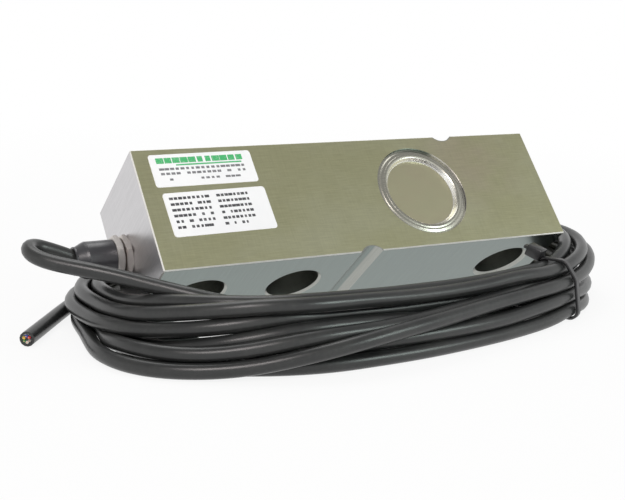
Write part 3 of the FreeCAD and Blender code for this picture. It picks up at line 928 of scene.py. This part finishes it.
# Each turn of the coil in the order it was wound: the way round the coil, the lane
# in diameters in from the coil's line, and the height of its centre.
TURNS: tuple[tuple[Point, ...], ...] = (
    ((150, 3.0, 11), (167, 2.9, 10), (229, 2.94, 6.0), (275, 2.6, 8.6), (340, 2.4, 8),
     (440, 2.1, 11.9), (541, 2.0, 13.5)),
    ((0, 1.85, 13.7), (27, 2.6, 18.6), (47, 3.1, 20.6), (71, 3.3, 21.4), (95, 3.4, 21.2),
     (121, 3.2, 20), (145, 3.0, 18.7), (167, 2.9, 18.3), (229, 2.96, 18.4), (252, 2.5, 21.5),
     (272, 1.95, 23.8), (300, 1.7, 23.6), (340, 1.8, 19.5), (440, 1.1, 11.9), (500, 0.9, 12.6)),
    ((-30, 0.8, 12.2), (-9, 0.75, 12.2), (20, 1.0, 14.0), (35, 1.5, 16.2), (50, 2.0, 18.6),
     (71, 2.2, 21.0), (94, 2.3, 22.1), (126, 2.1, 20.9), (152, 1.9, 18.9), (175, 1.8, 18.5),
     (200, 1.9, 18.7), (223, 2.0, 19), (248, 1.4, 20.0), (265, 0.8, 21.6), (285, 0.7, 23.0),
     (305, 0.6, 22), (340, 0.6, 20), (440, 0.9, 7.3), (501, 1.0, 7.2), (511, 0.85, 7.2),
     (521, 0.5, 7.6)),
    ((-10, 0.05, 8.2), (0, 0.0, 8.6), (15, 0.1, 8.8), (26, 0.6, 9.4), (36, 1.0, 11.5),
     (52, 1.6, 13.6), (70, 2.1, 15.8), (82, 2.4, 17.4), (94, 2.8, 18.4), (121, 3.2, 16.1),
     (145, 2.9, 14.6), (167, 2.5, 13.6), (190, 2.4, 13.4), (229, 2.15, 9.3), (275, 2.0, 13.8),
     (340, 2.3, 13.5), (440, 1.9, 7.3), (541, 1.9, 7.5)),
    ((0, 1.9, 6.5), (31, 1.4, 3.4), (50, 1.6, 7.4), (70, 1.8, 10.4), (98, 2.0, 14.4),
     (117, 1.9, 14.2), (133, 1.6, 13.1), (148, 1.8, 12), (167, 2.0, 8), (229, 1.97, 4.3),
     (275, 1.6, 6.3), (340, 1.6, 7), (440, 2.1, 2.65), (500, 2.3, 2.65), (530, 1.8, 3.4)),
    ((0, 1.4, 4.6), (10, 0.9, 5.2), (20, 0.3, 5.8), (30, 0.0, 6.2), (44, -0.3, 6.6),
     (56, 0.4, 6.8), (68, 1.0, 7.8), (90, 1.1, 12), (102, 1.2, 13.5), (122, 0.9, 12.8),
     (135, 0.8, 12.0), (148, 0.8, 12), (167, 1.3, 13.2), (229, 2.8, 12.8), (255, 1.7, 15.2),
     (275, 1.3, 17.2), (300, 1.3, 16.8), (340, 1.3, 12.5), (440, 2.6, 7.3), (541, 2.5, 8)),
    ((0, 2.5, 8.3), (30, 2.5, 8.2), (57, 2.7, 6.5), (98, 2.6, 4), (120, 1.3, 5.8),
     (129, 0.9, 7.2), (141, 0.6, 7), (154, 0.3, 7), (167, 0.1, 7.4), (181, 0.1, 7.6),
     (213, 1.0, 9), (229, 1.1, 9), (275, 0.3, 6.5), (340, 0.4, 7.5), (440, 1.1, 2.65),
     (500, 1.9, 2.65), (511, 1.7, 2.65), (521, 1.4, 2.65), (531, 0.9, 2.65)),
    ((0, 0.35, 2.65), (8, -0.1, 2.65), (19, -0.7, 2.65), (35, -1.2, 2.65), (46, -0.9, 2.65),
     (56, 0, 2.65), (73, 0.8, 3.2), (91, 0.7, 6.6), (101, 0.5, 8.6), (120, -0.1, 11.3),
     (135, -0.3, 12.8), (148, -0.2, 13.2), (161, 0.1, 13.6), (183, 0.6, 14), (214, 1.2, 14.7),
     (229, 1.25, 14.2), (252, 0.75, 14.8), (268, 0.15, 17.6), (285, -0.2, 19), (305, -0.1, 18.4),
     (340, 0.1, 15), (440, 3.1, 2.65), (510, 3.2, 2.65)),
    ((0, 2.0, 2.65), (18, 1.1, 2.65), (34, 0.0, 2.65), (48, 0.1, 2.9), (60, 0.9, 2.65),
     (76, 1.6, 2.65), (98, 1.54, 2.65), (125, 0.8, 2.65), (142, 0.3, 2.65), (161, 0.1, 2.65),
     (182, 0.1, 2.65), (212, 0.75, 2.65), (229, 0.96, 3.75), (250, 0.5, 2.65), (275, 0.8, 2.65),
     (340, 0.6, 2.65), (440, 0.1, 2.65), (522, -0.5, 2.65)),
)


@dataclass
class Winding:
    """The coil of the cable: lanes and heights, pushed apart and settled over a set number of
    rounds.
    """

    radius: float = 2.65
    steps: int = 60
    first_walk: float = 152.0
    last_walk: float = 512.0
    tie_walk: float = 229.4
    tie_width: float = 9.0
    tie_lift: float = 1.75
    tie_draw: float = 12.1
    tie_grip: float = 0.5
    bundle_size: Span = (21.0, 21.6)
    outermost: float = 7.0
    lead_window: Span = (-5.0, 60.0)
    beam_lip: Span = (-0.45, -0.27)
    beam_reach: Span = (-79.3, 98.7)
    beam_gap: float = 0.3
    rounds: int = 60
    passes: int = 3
    hold: float = 0.15
    smooth: float = 0.3
    sag: float = 0.01
    line: CoilLine = field(default_factory=CoilLine)

    @property
    def step(self) -> float:
        """The way along the line from one plane to the next."""
        return self.line.length / self.steps

    @staticmethod
    def through(knots: np.ndarray, values: np.ndarray, places: np.ndarray) -> np.ndarray:
        """Draw a smooth line through values that never swings past them.

        Args:
            knots: Where the values stand.
            values: The values.
            places: Where the line is wanted.

        Returns:
            The line's value at each place.
        """
        gaps = np.diff(knots)
        slopes = np.diff(values) / gaps
        lean = np.zeros(len(knots))
        for i in range(1, len(knots) - 1):
            if slopes[i - 1] * slopes[i] > 0:
                one = 2 * gaps[i] + gaps[i - 1]
                two = gaps[i] + 2 * gaps[i - 1]
                lean[i] = (one + two) / (one / slopes[i - 1] + two / slopes[i])
        k = np.clip(np.searchsorted(knots, places) - 1, 0, len(knots) - 2)
        t = (places - knots[k]) / gaps[k]
        start = (2 * t**3 - 3 * t**2 + 1) * values[k] + (t**3 - 2 * t**2 + t) * gaps[k] * lean[k]
        end = (3 * t**2 - 2 * t**3) * values[k + 1] + (t**3 - t**2) * gaps[k] * lean[k + 1]
        return start + end

    def laid_out(self) -> tuple[np.ndarray, np.ndarray, np.ndarray]:
        """Give the number of each step, its lane as an inset and its height.

        Returns:
            The numbers, the insets and the heights.
        """
        walks, insets, heights = [], [], []
        for number, turn in enumerate(TURNS):
            for walk, lane, height in turn:
                walks.append(number * self.line.length + walk)
                insets.append(lane * 2 * self.radius + self.radius)
                heights.append(height)
        step = self.step
        first = math.ceil(self.first_walk / step)
        last = (len(TURNS) - 1) * self.steps + int(self.last_walk / step)
        numbers = np.arange(first, last + 1)
        knots = np.array(walks, float)
        inset = self.through(knots, np.array(insets), numbers * step)
        height = self.through(knots, np.array(heights, float), numbers * step)
        return numbers, inset, height

    def lead_places(self, lead: np.ndarray, rims: list) -> dict[int, tuple[float, float]]:
        """Find where the lead passes over the coil, as an inset and a height per step.

        Args:
            lead: The points of the lead.
            rims: The point and the inward direction of each plane.

        Returns:
            The inset and the height by plane.
        """
        found = {}
        for ring, (point, inward) in enumerate(rims):
            along = np.array([-inward[1], inward[0]])
            for one, two in zip(lead[:-1], lead[1:]):
                a = (one[:2] - point) @ along
                b = (two[:2] - point) @ along
                if a * b <= 0 and a != b:
                    place = one + (two - one) * a / (a - b)
                    inset = (place[:2] - point) @ inward
                    if self.lead_window[0] < inset < self.lead_window[1]:
                        found[ring] = (inset, place[2])
        return found

    def part_pair(self, inset: np.ndarray, height: np.ndarray, one: int, two: int) -> None:
        """Push two crossings of one plane apart until they are a diameter away.

        Args:
            inset: The insets of all crossings.
            height: Their heights.
            one: The number of the first crossing.
            two: The number of the second.
        """
        across = inset[two] - inset[one]
        up = height[two] - height[one]
        away = max(math.hypot(across, up), TOUCH)
        if away < 2 * self.radius:
            share = 0.5 * (2 * self.radius - away) / away
            inset[one] -= share * across
            height[one] -= share * up
            inset[two] += share * across
            height[two] += share * up

    def clear_beam(self, points: np.ndarray, inward: np.ndarray, inset: np.ndarray,
                   height: np.ndarray) -> None:
        """Keep the turns off the two lower faces of the beam.

        Args:
            points: The point of the coil's line at each crossing.
            inward: The inward direction at each.
            inset: The insets of all crossings.
            height: Their heights.
        """
        sine, cosine = math.sin(-ROLL), math.cos(-ROLL)
        y = points[:, 1] + inward[:, 1] * inset
        x = points[:, 0] + inward[:, 0] * inset
        under = -(sine * (y - self.beam_lip[0]) + cosine * (height - self.beam_lip[1]))
        behind = cosine * (y - self.beam_lip[0]) - sine * (height - self.beam_lip[1])
        need = self.radius + self.beam_gap
        near = (x > self.beam_reach[0]) & (x < self.beam_reach[1])
        front = near & (under >= behind) & (under < need)
        back = near & (behind > under) & (behind < need)
        for side, ny, nz, gap in ((front, -sine, -cosine, under), (back, cosine, -sine, behind)):
            short = need - gap[side]
            inset[side] += short * ny * inward[side, 1]
            height[side] += short * nz

    def settled(self, lead: np.ndarray) -> tuple[np.ndarray, np.ndarray, np.ndarray]:
        """Settle the turns on the floor, on each other, under the tie and off the beam.

        Args:
            lead: The points of the lead that passes over the coil.

        Returns:
            The points of the coil, and the inset and the height of each.
        """
        numbers, inset, height = self.laid_out()
        step = self.step
        rims = [self.line.at(ring * step) for ring in range(self.steps)]
        ring = numbers % self.steps
        points = np.array([rims[r][0] for r in ring])
        inward = np.array([rims[r][1] for r in ring])
        want_inset, want_height = inset.copy(), height.copy()
        tied = np.exp(-((ring * step - self.tie_walk) / self.tie_width) ** 2)
        grip = tied > self.tie_grip
        deepest, highest = (size - self.radius for size in self.bundle_size)
        over = self.lead_places(lead, rims)
        planes = [np.where(ring == r)[0] for r in range(self.steps)]
        for _ in range(self.rounds):
            inset += self.hold * (want_inset - inset)
            height += self.hold * (want_height - height) - self.sag
            for line in (inset, height):
                line[1:-1] += self.smooth * ((line[:-2] + line[2:]) / 2 - line[1:-1])
            for _ in range(self.passes):
                for r, plane in enumerate(planes):
                    for one, two in combinations(plane, 2):
                        self.part_pair(inset, height, one, two)
                    if r in over:
                        self.clear_lead(inset, height, plane, over[r])
                height[:] = np.maximum(height, self.radius + self.tie_lift * tied)
                inset[:] = np.maximum(inset, self.radius - self.outermost + self.tie_draw * tied)
                height[grip] = np.minimum(height[grip], highest)
                inset[grip] = np.minimum(inset[grip], deepest)
                self.clear_beam(points, inward, inset, height)
        return np.column_stack([points + inward * inset[:, None], height]), inset, height

    def clear_lead(self, inset: np.ndarray, height: np.ndarray, plane: np.ndarray,
                   lead: tuple[float, float]) -> None:
        """Push the crossings of one plane off the lead.

        Args:
            inset: The insets of all crossings.
            height: Their heights.
            plane: The numbers of the crossings in this plane.
            lead: Where the lead passes.
        """
        for one in plane:
            across = inset[one] - lead[0]
            up = height[one] - lead[1]
            away = max(math.hypot(across, up), TOUCH)
            if away < 2 * self.radius:
                share = (2 * self.radius - away) / away
                inset[one] += share * across
                height[one] += share * up


@dataclass
class Cable:
    """The cable from the gland, round the coil and out to its cut end."""

    radius: float = 2.65
    length: float = 4.74
    exit: Point = (-89.85, 2.82, 25.04)
    lead: tuple[Point, ...] = (
        (-92.7, 2.82, 25.04), (-98.9, 3.1, 27.9), (-104.8, 3.6, 30.2), (-108.8, 3.3, 31.6),
        (-112.0, 0.3, 32.0), (-112.7, -4.6, 31.0), (-110.3, -9.1, 29.7),
        (-105.8, -12.6, 28.5), (-98.8, -17.2, 27.3), (-89.5, -22.9, 25.5),
        (-80.2, -30.1, 23.2), (-69.9, -37.8, 20.9), (-58.8, -44.2, 18.4),
        (-45.8, -48.6, 16), (-29.3, -53.5, 13.6), (-11.3, -59, 11.6),
    )
    tail: tuple[Point, ...] = (
        (-85.3, 30.4, 2.7), (-94.9, 18.6, 2.7), (-105.3, 4.8, 2.7), (-115.6, -8.7, 2.7),
    )
    over_coil: int = 9
    winding: Winding = field(default_factory=Winding)
    inset: np.ndarray = field(init=False, repr=False)
    height: np.ndarray = field(init=False, repr=False)

    def build(self) -> bpy.types.Object:
        """Draw the cable as one smooth open spline.

        Returns:
            The curve object of the cable.
        """
        over = np.array(self.lead[self.over_coil:])
        turns, self.inset, self.height = self.winding.settled(over)
        route = [self.exit, *self.lead, *map(tuple, turns), *self.tail]
        data = bpy.data.curves.new("cable", "CURVE")
        data.dimensions = "3D"
        spline = data.splines.new("NURBS")
        spline.points.add(len(route) - 1)
        for point, place in zip(spline.points, route):
            point.co = (*(Vector(place) * MM), 1.0)
        spline.order_u = 3
        spline.use_endpoint_u = True
        data.resolution_u = 4
        data.bevel_depth = self.radius * MM
        data.bevel_resolution = 5
        data.use_fill_caps = True
        cable = bpy.data.objects.new("cable", data)
        bpy.context.scene.collection.objects.link(cable)
        return cable


# ---- Tie ---------------------------------------------------------------------------
@dataclass
class CableTie:
    """The nylon tie round the bundle: its strap, its head and the cut end of the strap."""

    thickness: float = 1.1
    width: float = 2.6
    corner: float = 0.3
    slack: float = 0.15
    arc_steps: int = 10
    head_size: Point = (5.2, 6.4, 4.6)
    head_bevel: float = 0.55
    head_tilt_deg: float = -18.0
    head_inwards: float = 4.6
    head_gap: float = 0.1
    stub_length: float = 2.0
    stub_place: Span = (0.6, 0.3)
    finish: Moulded = Moulded("tie_nylon", (0.012, 0.012, 0.013), Sheen.SATIN, 0.7)

    def build(self, cable: Cable) -> bpy.types.Object:
        """Lay the strap tightly round the turns and set the head on it.

        Args:
            cable: The wound cable.

        Returns:
            The tie as one piece.
        """
        winding = cable.winding
        point, inward = winding.line.at(winding.tie_walk)
        numbers = winding.laid_out()[0] % winding.steps
        ring = int(round(winding.tie_walk / winding.step)) % winding.steps
        places = [(cable.inset[k], cable.height[k]) for k in np.where(numbers == ring)[0]]
        loop = self.around(places, cable.radius + self.slack)
        across = Vector((*inward, 0.0))
        along = Vector((0.0, 0.0, 1.0)).cross(across)
        base = Vector((*point, 0.0))
        shape = bmesh.new()
        self.strap(shape, loop, base, across, along)
        self.head(shape, places, base, across, along, cable.radius)
        bmesh.ops.transform(shape, matrix=Matrix.Scale(MM, 4), verts=shape.verts)
        bmesh.ops.recalc_face_normals(shape, faces=shape.faces)
        return as_piece("tie", shape, self.finish.build())

    def around(self, places: list, reach: float) -> list[tuple[float, float]]:
        """Give the line of a band pulled tight round circles of one radius.

        Args:
            places: The centres of the circles.
            reach: Their radius.

        Returns:
            The points of the band, counter-clockwise.
        """
        hull = self.hull(sorted(places))
        line = []
        count = len(hull)
        for k in range(count):
            before, here, after = hull[k - 1], hull[k], hull[(k + 1) % count]
            first = math.atan2(here[1] - before[1], here[0] - before[0]) - math.pi / 2
            last = math.atan2(after[1] - here[1], after[0] - here[0]) - math.pi / 2
            turn = (last - first) % (2 * math.pi)
            steps = max(2, int(self.arc_steps * turn))
            for i in range(steps + 1):
                angle = first + turn * i / steps
                line.append((here[0] + reach * math.cos(angle), here[1] + reach * math.sin(angle)))
        return line

    @staticmethod
    def hull(points: list) -> list:
        """Give the outer points of a cloud, counter-clockwise.

        Args:
            points: The cloud, sorted.

        Returns:
            The outer points.
        """
        rims = []
        for cloud in (points, points[::-1]):
            rim = []
            for p in cloud:
                while len(rim) > 1 and ((rim[-1][0] - rim[-2][0]) * (p[1] - rim[-2][1])
                                        - (rim[-1][1] - rim[-2][1]) * (p[0] - rim[-2][0])) <= 0:
                    rim.pop()
                rim.append(p)
            rims += rim[:-1]
        return rims

    def strap(self, shape: bmesh.types.BMesh, loop: list, base: Vector, across: Vector,
              along: Vector) -> None:
        """Sweep the strap's rounded section round the loop.

        Args:
            shape: The mesh that takes it.
            loop: The inner line of the strap.
            base: The point of the coil's line at the tie.
            across: The way into the coil.
            along: The way along the cable.
        """
        half, thick, soft = self.width / 2, self.thickness, self.corner
        section = ((0.0, -half + soft), (soft, -half), (thick - soft, -half),
                   (thick, -half + soft), (thick, half - soft), (thick - soft, half),
                   (soft, half), (0.0, half - soft))
        count = len(loop)
        rings = []
        for k, (x, z) in enumerate(loop):
            ahead, behind = loop[(k + 1) % count], loop[k - 1]
            run = Vector((ahead[0] - behind[0], ahead[1] - behind[1])).normalized()
            out = Vector((run.y, -run.x))
            ring = []
            for rise, side in section:
                a = x + out.x * rise
                b = z + out.y * rise
                ring.append(shape.verts.new(base + across * a + along * side + Vector((0, 0, b))))
            rings.append(ring)
        for k, ring in enumerate(rings):
            following = rings[(k + 1) % count]
            for i in range(len(section)):
                j = (i + 1) % len(section)
                shape.faces.new((ring[i], ring[j], following[j], following[i]))

    def head(self, shape: bmesh.types.BMesh, places: list, base: Vector, across: Vector,
             along: Vector, radius: float) -> None:
        """Set the locking head with the cut end of the strap on the bundle's inner shoulder.

        Args:
            shape: The mesh that takes it.
            places: Where the turns pass the tie.
            base: The point of the coil's line at the tie.
            across: The way into the coil.
            along: The way along the cable.
            radius: The radius of the cable.
        """
        length, breadth, height = self.head_size
        inset, top = max(places, key=lambda place: place[0] * 0.5 + place[1])
        tilt = Matrix.Rotation(math.radians(self.head_tilt_deg), 4, along)
        axes = Matrix((along, across, Vector((0, 0, 1)))).transposed().to_4x4()
        rise = Vector((0, 0, top + radius + height / 2 + self.head_gap))
        centre = base + across * (inset + self.head_inwards) + rise
        block = bmesh.ops.create_cube(shape, size=1.0)["verts"]
        bmesh.ops.scale(shape, vec=(length, breadth, height), verts=block)
        edges = list({edge for vert in block for edge in vert.link_edges})
        bevel = bmesh.ops.bevel(shape, geom=edges, offset=self.head_bevel, segments=3,
                                profile=0.5, affect="EDGES")
        verts = {vert for face in bevel["faces"] for vert in face.verts}
        verts |= {vert for vert in block if vert.is_valid}
        place = Matrix.Translation(centre) @ tilt @ axes
        bmesh.ops.transform(shape, matrix=place, verts=list(verts))
        stub = bmesh.ops.create_cube(shape, size=1.0)["verts"]
        bmesh.ops.scale(shape, vec=(self.width, self.stub_length, self.thickness), verts=stub)
        out, up = self.stub_place
        aside = Matrix.Translation((0, breadth / 2 + out, up))
        bmesh.ops.transform(shape, matrix=place @ aside, verts=stub)


# ---- Gland -------------------------------------------------------------------------
@dataclass
class GlandThread:
    """The male thread that shows between the two hexagons of the gland, darkened as painted shade
    in the narrow gap.
    """

    start: float = 2.5
    port: Span = (27.5, 21.0)
    radius: float = 5.5
    crest: float = 0.19
    length: float = 0.5
    turns: float = 1.25
    # Painted shade: the nickel thread is coloured dark for the shade between the hexagons.
    finish: Plated = Plated("gland_thread_nickel_shaded", (0.20, 0.19, 0.18), Sheen.LOW)

    def tree(self) -> Tree:
        """Make the tree that sweeps one crest along a helix.

        Returns:
            The tree.
        """
        tree = Tree("thread")
        radius = tree.input("Radius", self.radius * MM)
        helix = tree.node("GeometryNodeCurveSpiral", Resolution=48,
                          Rotations=tree.input("Turns", self.turns), Start_Radius=radius,
                          End_Radius=radius, Height=tree.input("Length", self.length * MM))
        crest = tree.node("GeometryNodeCurvePrimitiveCircle", Resolution=8,
                          Radius=tree.input("Crest", self.crest * MM))
        sweep = tree.node("GeometryNodeCurveToMesh", Curve=helix.outputs[0],
                          Profile_Curve=crest.outputs[0], Fill_Caps=True)
        tree.close(sweep.outputs[0], self.finish.build())
        return tree

    def build(self) -> bpy.types.Object:
        """Wind the thread round the gland's axis.

        Returns:
            The thread as one piece.
        """
        mouth = Matrix.Translation(Vector((-self.start, *self.port)) * MM)
        outwards = Matrix.Rotation(math.radians(-90), 4, "Y")
        values = {"Turns": self.turns, "Radius": self.radius * MM,
                  "Length": self.length * MM, "Crest": self.crest * MM}
        return self.tree().grow("gland_thread", LAID @ mouth @ outwards, values)


# ---- Labels ------------------------------------------------------------------------
INK_THICKNESS = 0.00003


@dataclass(frozen=True)
class PrintBlock:
    """Rows of plain dashes on a label, in millimetres from its lower left corner."""

    left: float
    low: float
    width: float
    rows: int
    row_pitch: float
    stroke: float
    dashes: int
    fullness: float
    seed: int
    ink: Ink
    least: float = 0.45


@dataclass
class Label:
    """The plain print of one label."""

    name: str
    x: float
    z: float
    turn_deg: float
    blocks: tuple[PrintBlock, ...]
    lift: float = 0.2

    def place(self) -> Matrix:
        """Give the matrix from the label's own plane to where it lies.

        Returns:
            The matrix.
        """
        stand = Matrix.Rotation(math.radians(90), 4, "X")
        turn = Matrix.Rotation(math.radians(-self.turn_deg), 4, "Y")
        corner = Matrix.Translation(Vector((self.x, -self.lift, self.z)) * MM)
        return LAID @ corner @ turn @ stand

    def build(self) -> list[bpy.types.Object]:
        """Print the label.

        Returns:
            One piece for each block of print.
        """
        pieces = []
        for number, block in enumerate(self.blocks):
            tree = print_tree(f"{self.name}_print_{number}", block.ink.build())
            local = Matrix.Translation(Vector((block.left, block.low, 0.0)) * MM)
            height = (block.rows - 1) * block.row_pitch
            values = {"Width": block.width * MM, "Height": height * MM, "Dashes": block.dashes,
                      "Rows": block.rows, "Stroke": block.stroke * MM, "Seed": block.seed,
                      "Fullness": block.fullness, "Least": block.least}
            pieces.append(tree.grow(f"{self.name}_print_{number}", self.place() @ local, values))
        return pieces


def print_tree(name: str, material: bpy.types.Material) -> Tree:
    """Build the tree of dashes set on a grid, of uneven lengths, with some left out.

    Args:
        name: The name of the tree.
        material: The ink.

    Returns:
        The tree.
    """
    tree = Tree(name)
    width = tree.input("Width", 0.03)
    height = tree.input("Height", 0.01)
    dashes = tree.input("Dashes", 8, whole=True)
    rows = tree.input("Rows", 4, whole=True)
    stroke = tree.input("Stroke", 0.0009)
    fullness = tree.input("Fullness", 0.8)
    seed = tree.input("Seed", 1, whole=True)
    least = tree.input("Least", 0.45)
    pitch = tree.sum("DIVIDE", width, dashes)
    grid = tree.node("GeometryNodeMeshGrid", Size_X=tree.sum("SUBTRACT", width, pitch),
                     Size_Y=height, Vertices_X=dashes, Vertices_Y=rows)
    corner = tree.node("ShaderNodeCombineXYZ", X=tree.sum("MULTIPLY", width, 0.5),
                       Y=tree.sum("MULTIPLY", height, 0.5))
    moved = tree.node("GeometryNodeTransform", Geometry=grid.outputs["Mesh"],
                      Translation=corner.outputs[0])
    share = tree.node("FunctionNodeRandomValue", {"data_type": "FLOAT"}, Seed=seed)
    tree.group.links.new(least, share.inputs[2])
    share.inputs[3].default_value = 1.0
    length = tree.sum("MULTIPLY", pitch, share.outputs[1])
    size = tree.node("ShaderNodeCombineXYZ", X=length, Y=stroke, Z=INK_THICKNESS)
    kept = tree.node("FunctionNodeRandomValue", {"data_type": "BOOLEAN"}, Probability=fullness,
                     Seed=seed)
    cube = tree.node("GeometryNodeMeshCube", Size=(1.0, 1.0, 1.0))
    marks = tree.node("GeometryNodeInstanceOnPoints", Points=moved.outputs[0],
                      Instance=cube.outputs["Mesh"], Scale=size.outputs[0],
                      Selection=kept.outputs[3])
    tree.close(marks.outputs[0], material)
    return tree


LABELS = (
    Label("upper", 5.9, 32.1, 0.35, (
        PrintBlock(2.4, 10.7, 33.6, 1, 1.0, 2.3, 11, 1.0, 3, Ink.GREEN, 0.55),
        PrintBlock(9.6, 8.75, 25.4, 1, 1.0, 0.6, 1, 1.0, 4, Ink.GREEN, 1.0),
        PrintBlock(2.8, 5.3, 33.2, 2, 1.9, 0.95, 17, 0.9, 5, Ink.GREY),
        PrintBlock(3.4, 2.9, 31.5, 1, 1.0, 0.85, 16, 0.74, 8, Ink.GREY),
    )),
    Label("lower", 7.3, 12.2, 0.80, (
        PrintBlock(1.9, 3.6, 15.2, 6, 2.3, 1.05, 9, 0.84, 11, Ink.DARK),
        PrintBlock(19.8, 3.6, 12.6, 6, 2.3, 1.05, 8, 0.86, 14, Ink.DARK),
    )),
)


# ---- Studio ------------------------------------------------------------------------
@dataclass(frozen=True)
class Lamp:
    """One soft rectangular lamp."""

    name: str
    place: Point
    size: float
    power: float
    colour: Colour = (1.0, 1.0, 1.0)

    def build(self, target: Point = (0.0, 0.0, 0.02)) -> bpy.types.Object:
        """Hang the lamp and point it at the part.

        Args:
            target: What it is pointed at.

        Returns:
            The lamp.
        """
        data = bpy.data.lights.new(self.name, "AREA")
        data.size = self.size
        data.energy = self.power
        data.color = self.colour
        lamp = bpy.data.objects.new(self.name, data)
        aim = (Vector(target) - Vector(self.place)).to_track_quat("-Z", "Y").to_matrix().to_4x4()
        lamp.matrix_world = Matrix.Translation(self.place) @ aim
        bpy.context.scene.collection.objects.link(lamp)
        return lamp


@dataclass(frozen=True)
class Studio:
    """A pale floor, soft lamps and a pale surround that dims towards the ceiling."""

    floor_size: float = 8.0
    surround: float = 0.55
    ceiling: float = 0.42
    ceiling_start: float = 0.25
    ceiling_full: float = 0.75
    near: float = 0.12
    far: float = 0.6
    glow: float = 0.88
    floor_shades: tuple[Colour, Colour] = ((0.80, 0.80, 0.80), (0.82, 0.82, 0.82))
    lamps: tuple[Lamp, ...] = (
        Lamp("key", (-0.55, -0.75, 0.90), 0.45, 6.0, (1.0, 0.93, 0.92)),
        Lamp("fill", (0.80, -1.05, 0.60), 0.45, 5.0, (0.86, 1.0, 0.95)),
        Lamp("top", (0.1, 0.55, 1.1), 0.7, 4.0),
    )

    def build(self) -> bpy.types.Object:
        """Set up the studio.

        Returns:
            The floor.
        """
        scene = bpy.context.scene
        scene.view_settings.view_transform = "Standard"
        scene.world = bpy.data.worlds.new("surround")
        self.light_surround(scene.world)
        for lamp in self.lamps:
            lamp.build()
        return self.floor()

    def light_surround(self, world: bpy.types.World) -> None:
        """Make the surround white to the eye and in gloss, with a dimmer ceiling in gloss.

        Args:
            world: The world of the scene.
        """
        world.use_nodes = True
        nodes, links = world.node_tree.nodes, world.node_tree.links
        path = nodes.new("ShaderNodeLightPath")
        up = nodes.new("ShaderNodeSeparateXYZ")
        links.new(nodes.new("ShaderNodeTexCoord").outputs["Generated"], up.inputs[0])
        levels = []
        for value, low, high, start, end in (
                (up.outputs["Z"], self.ceiling_start, self.ceiling_full, 1.0, self.ceiling),
                (path.outputs["Is Glossy Ray"], 0.0, 1.0, self.surround, None),
                (path.outputs["Is Camera Ray"], 0.0, 1.0, None, 1.0)):
            level = nodes.new("ShaderNodeMapRange")
            links.new(value, level.inputs["Value"])
            for name, number in (("From Min", low), ("From Max", high), ("To Min", start),
                                 ("To Max", end)):
                if number is None:
                    links.new(levels[-1], level.inputs[name])
                else:
                    level.inputs[name].default_value = number
            levels.append(level.outputs["Result"])
        back = nodes["Background"]
        back.inputs["Color"].default_value = (1, 1, 1, 1)
        links.new(levels[-1], back.inputs["Strength"])

    def floor(self) -> bpy.types.Object:
        """Lay the floor, white to the eye, with a light shadow near the part.

        Returns:
            The floor.
        """
        shape = bmesh.new()
        bmesh.ops.create_grid(shape, x_segments=1, y_segments=1, size=self.floor_size / 2)
        shader = Shader("studio_floor")
        grain = shader.noise((8, 8, 8), detail=2.0)
        shader.set(Base_Color=shader.mix(grain, *self.floor_shades))
        shader.set(Roughness=0.8, Specular_IOR_Level=0.0)
        path = shader.nodes.new("ShaderNodeLightPath")
        seen = shader.largest(path.outputs["Is Camera Ray"], path.outputs["Is Glossy Ray"])
        off = shader.away(ORIGIN, (0.0, 0.0, 1.0))
        glow = shader.nodes.new("ShaderNodeEmission")
        blend = shader.nodes.new("ShaderNodeMixShader")
        share = shader.between(off, self.near, self.far, self.glow, 1.0)
        shader.join(shader.product(seen, share), blend.inputs[0])
        shader.join(shader.surface.outputs[0], blend.inputs[1])
        shader.join(glow.outputs[0], blend.inputs[2])
        shader.join(blend.outputs[0], shader.nodes["Material Output"].inputs["Surface"])
        floor = as_piece("floor", shape, shader.material, smooth=False)
        return floor


# ---- Main --------------------------------------------------------------------------
def main() -> None:
    """Build the pieces in order and report each."""
    logging.basicConfig(level=logging.INFO, format="%(name)s: %(message)s")
    CameraRig().build()
    cable = Cable()
    piece = cable.build()
    piece.data.materials.append(CableJacket().build())
    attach(piece, BODY)
    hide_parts("cable_lead", "cable_coil", "cable_tail")
    LOG.info("cable wound, %d points", len(piece.data.splines[0].points))
    tie = CableTie().build(cable)
    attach(tie, BODY)
    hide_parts("cable_tie")
    LOG.info("tie set, %d faces", len(tie.data.polygons))
    thread = GlandThread().build()
    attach(thread, BODY)
    LOG.info("thread wound, %d faces", len(thread.data.polygons))
    for label in LABELS:
        for block in label.build():
            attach(block, BODY)
            LOG.info("%s, %d faces", block.name, len(block.data.polygons))
    LOG.info("%d packed pieces dressed", dress_nodes())
    Studio().build()
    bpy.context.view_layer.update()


if __name__ == "__main__":
    main()
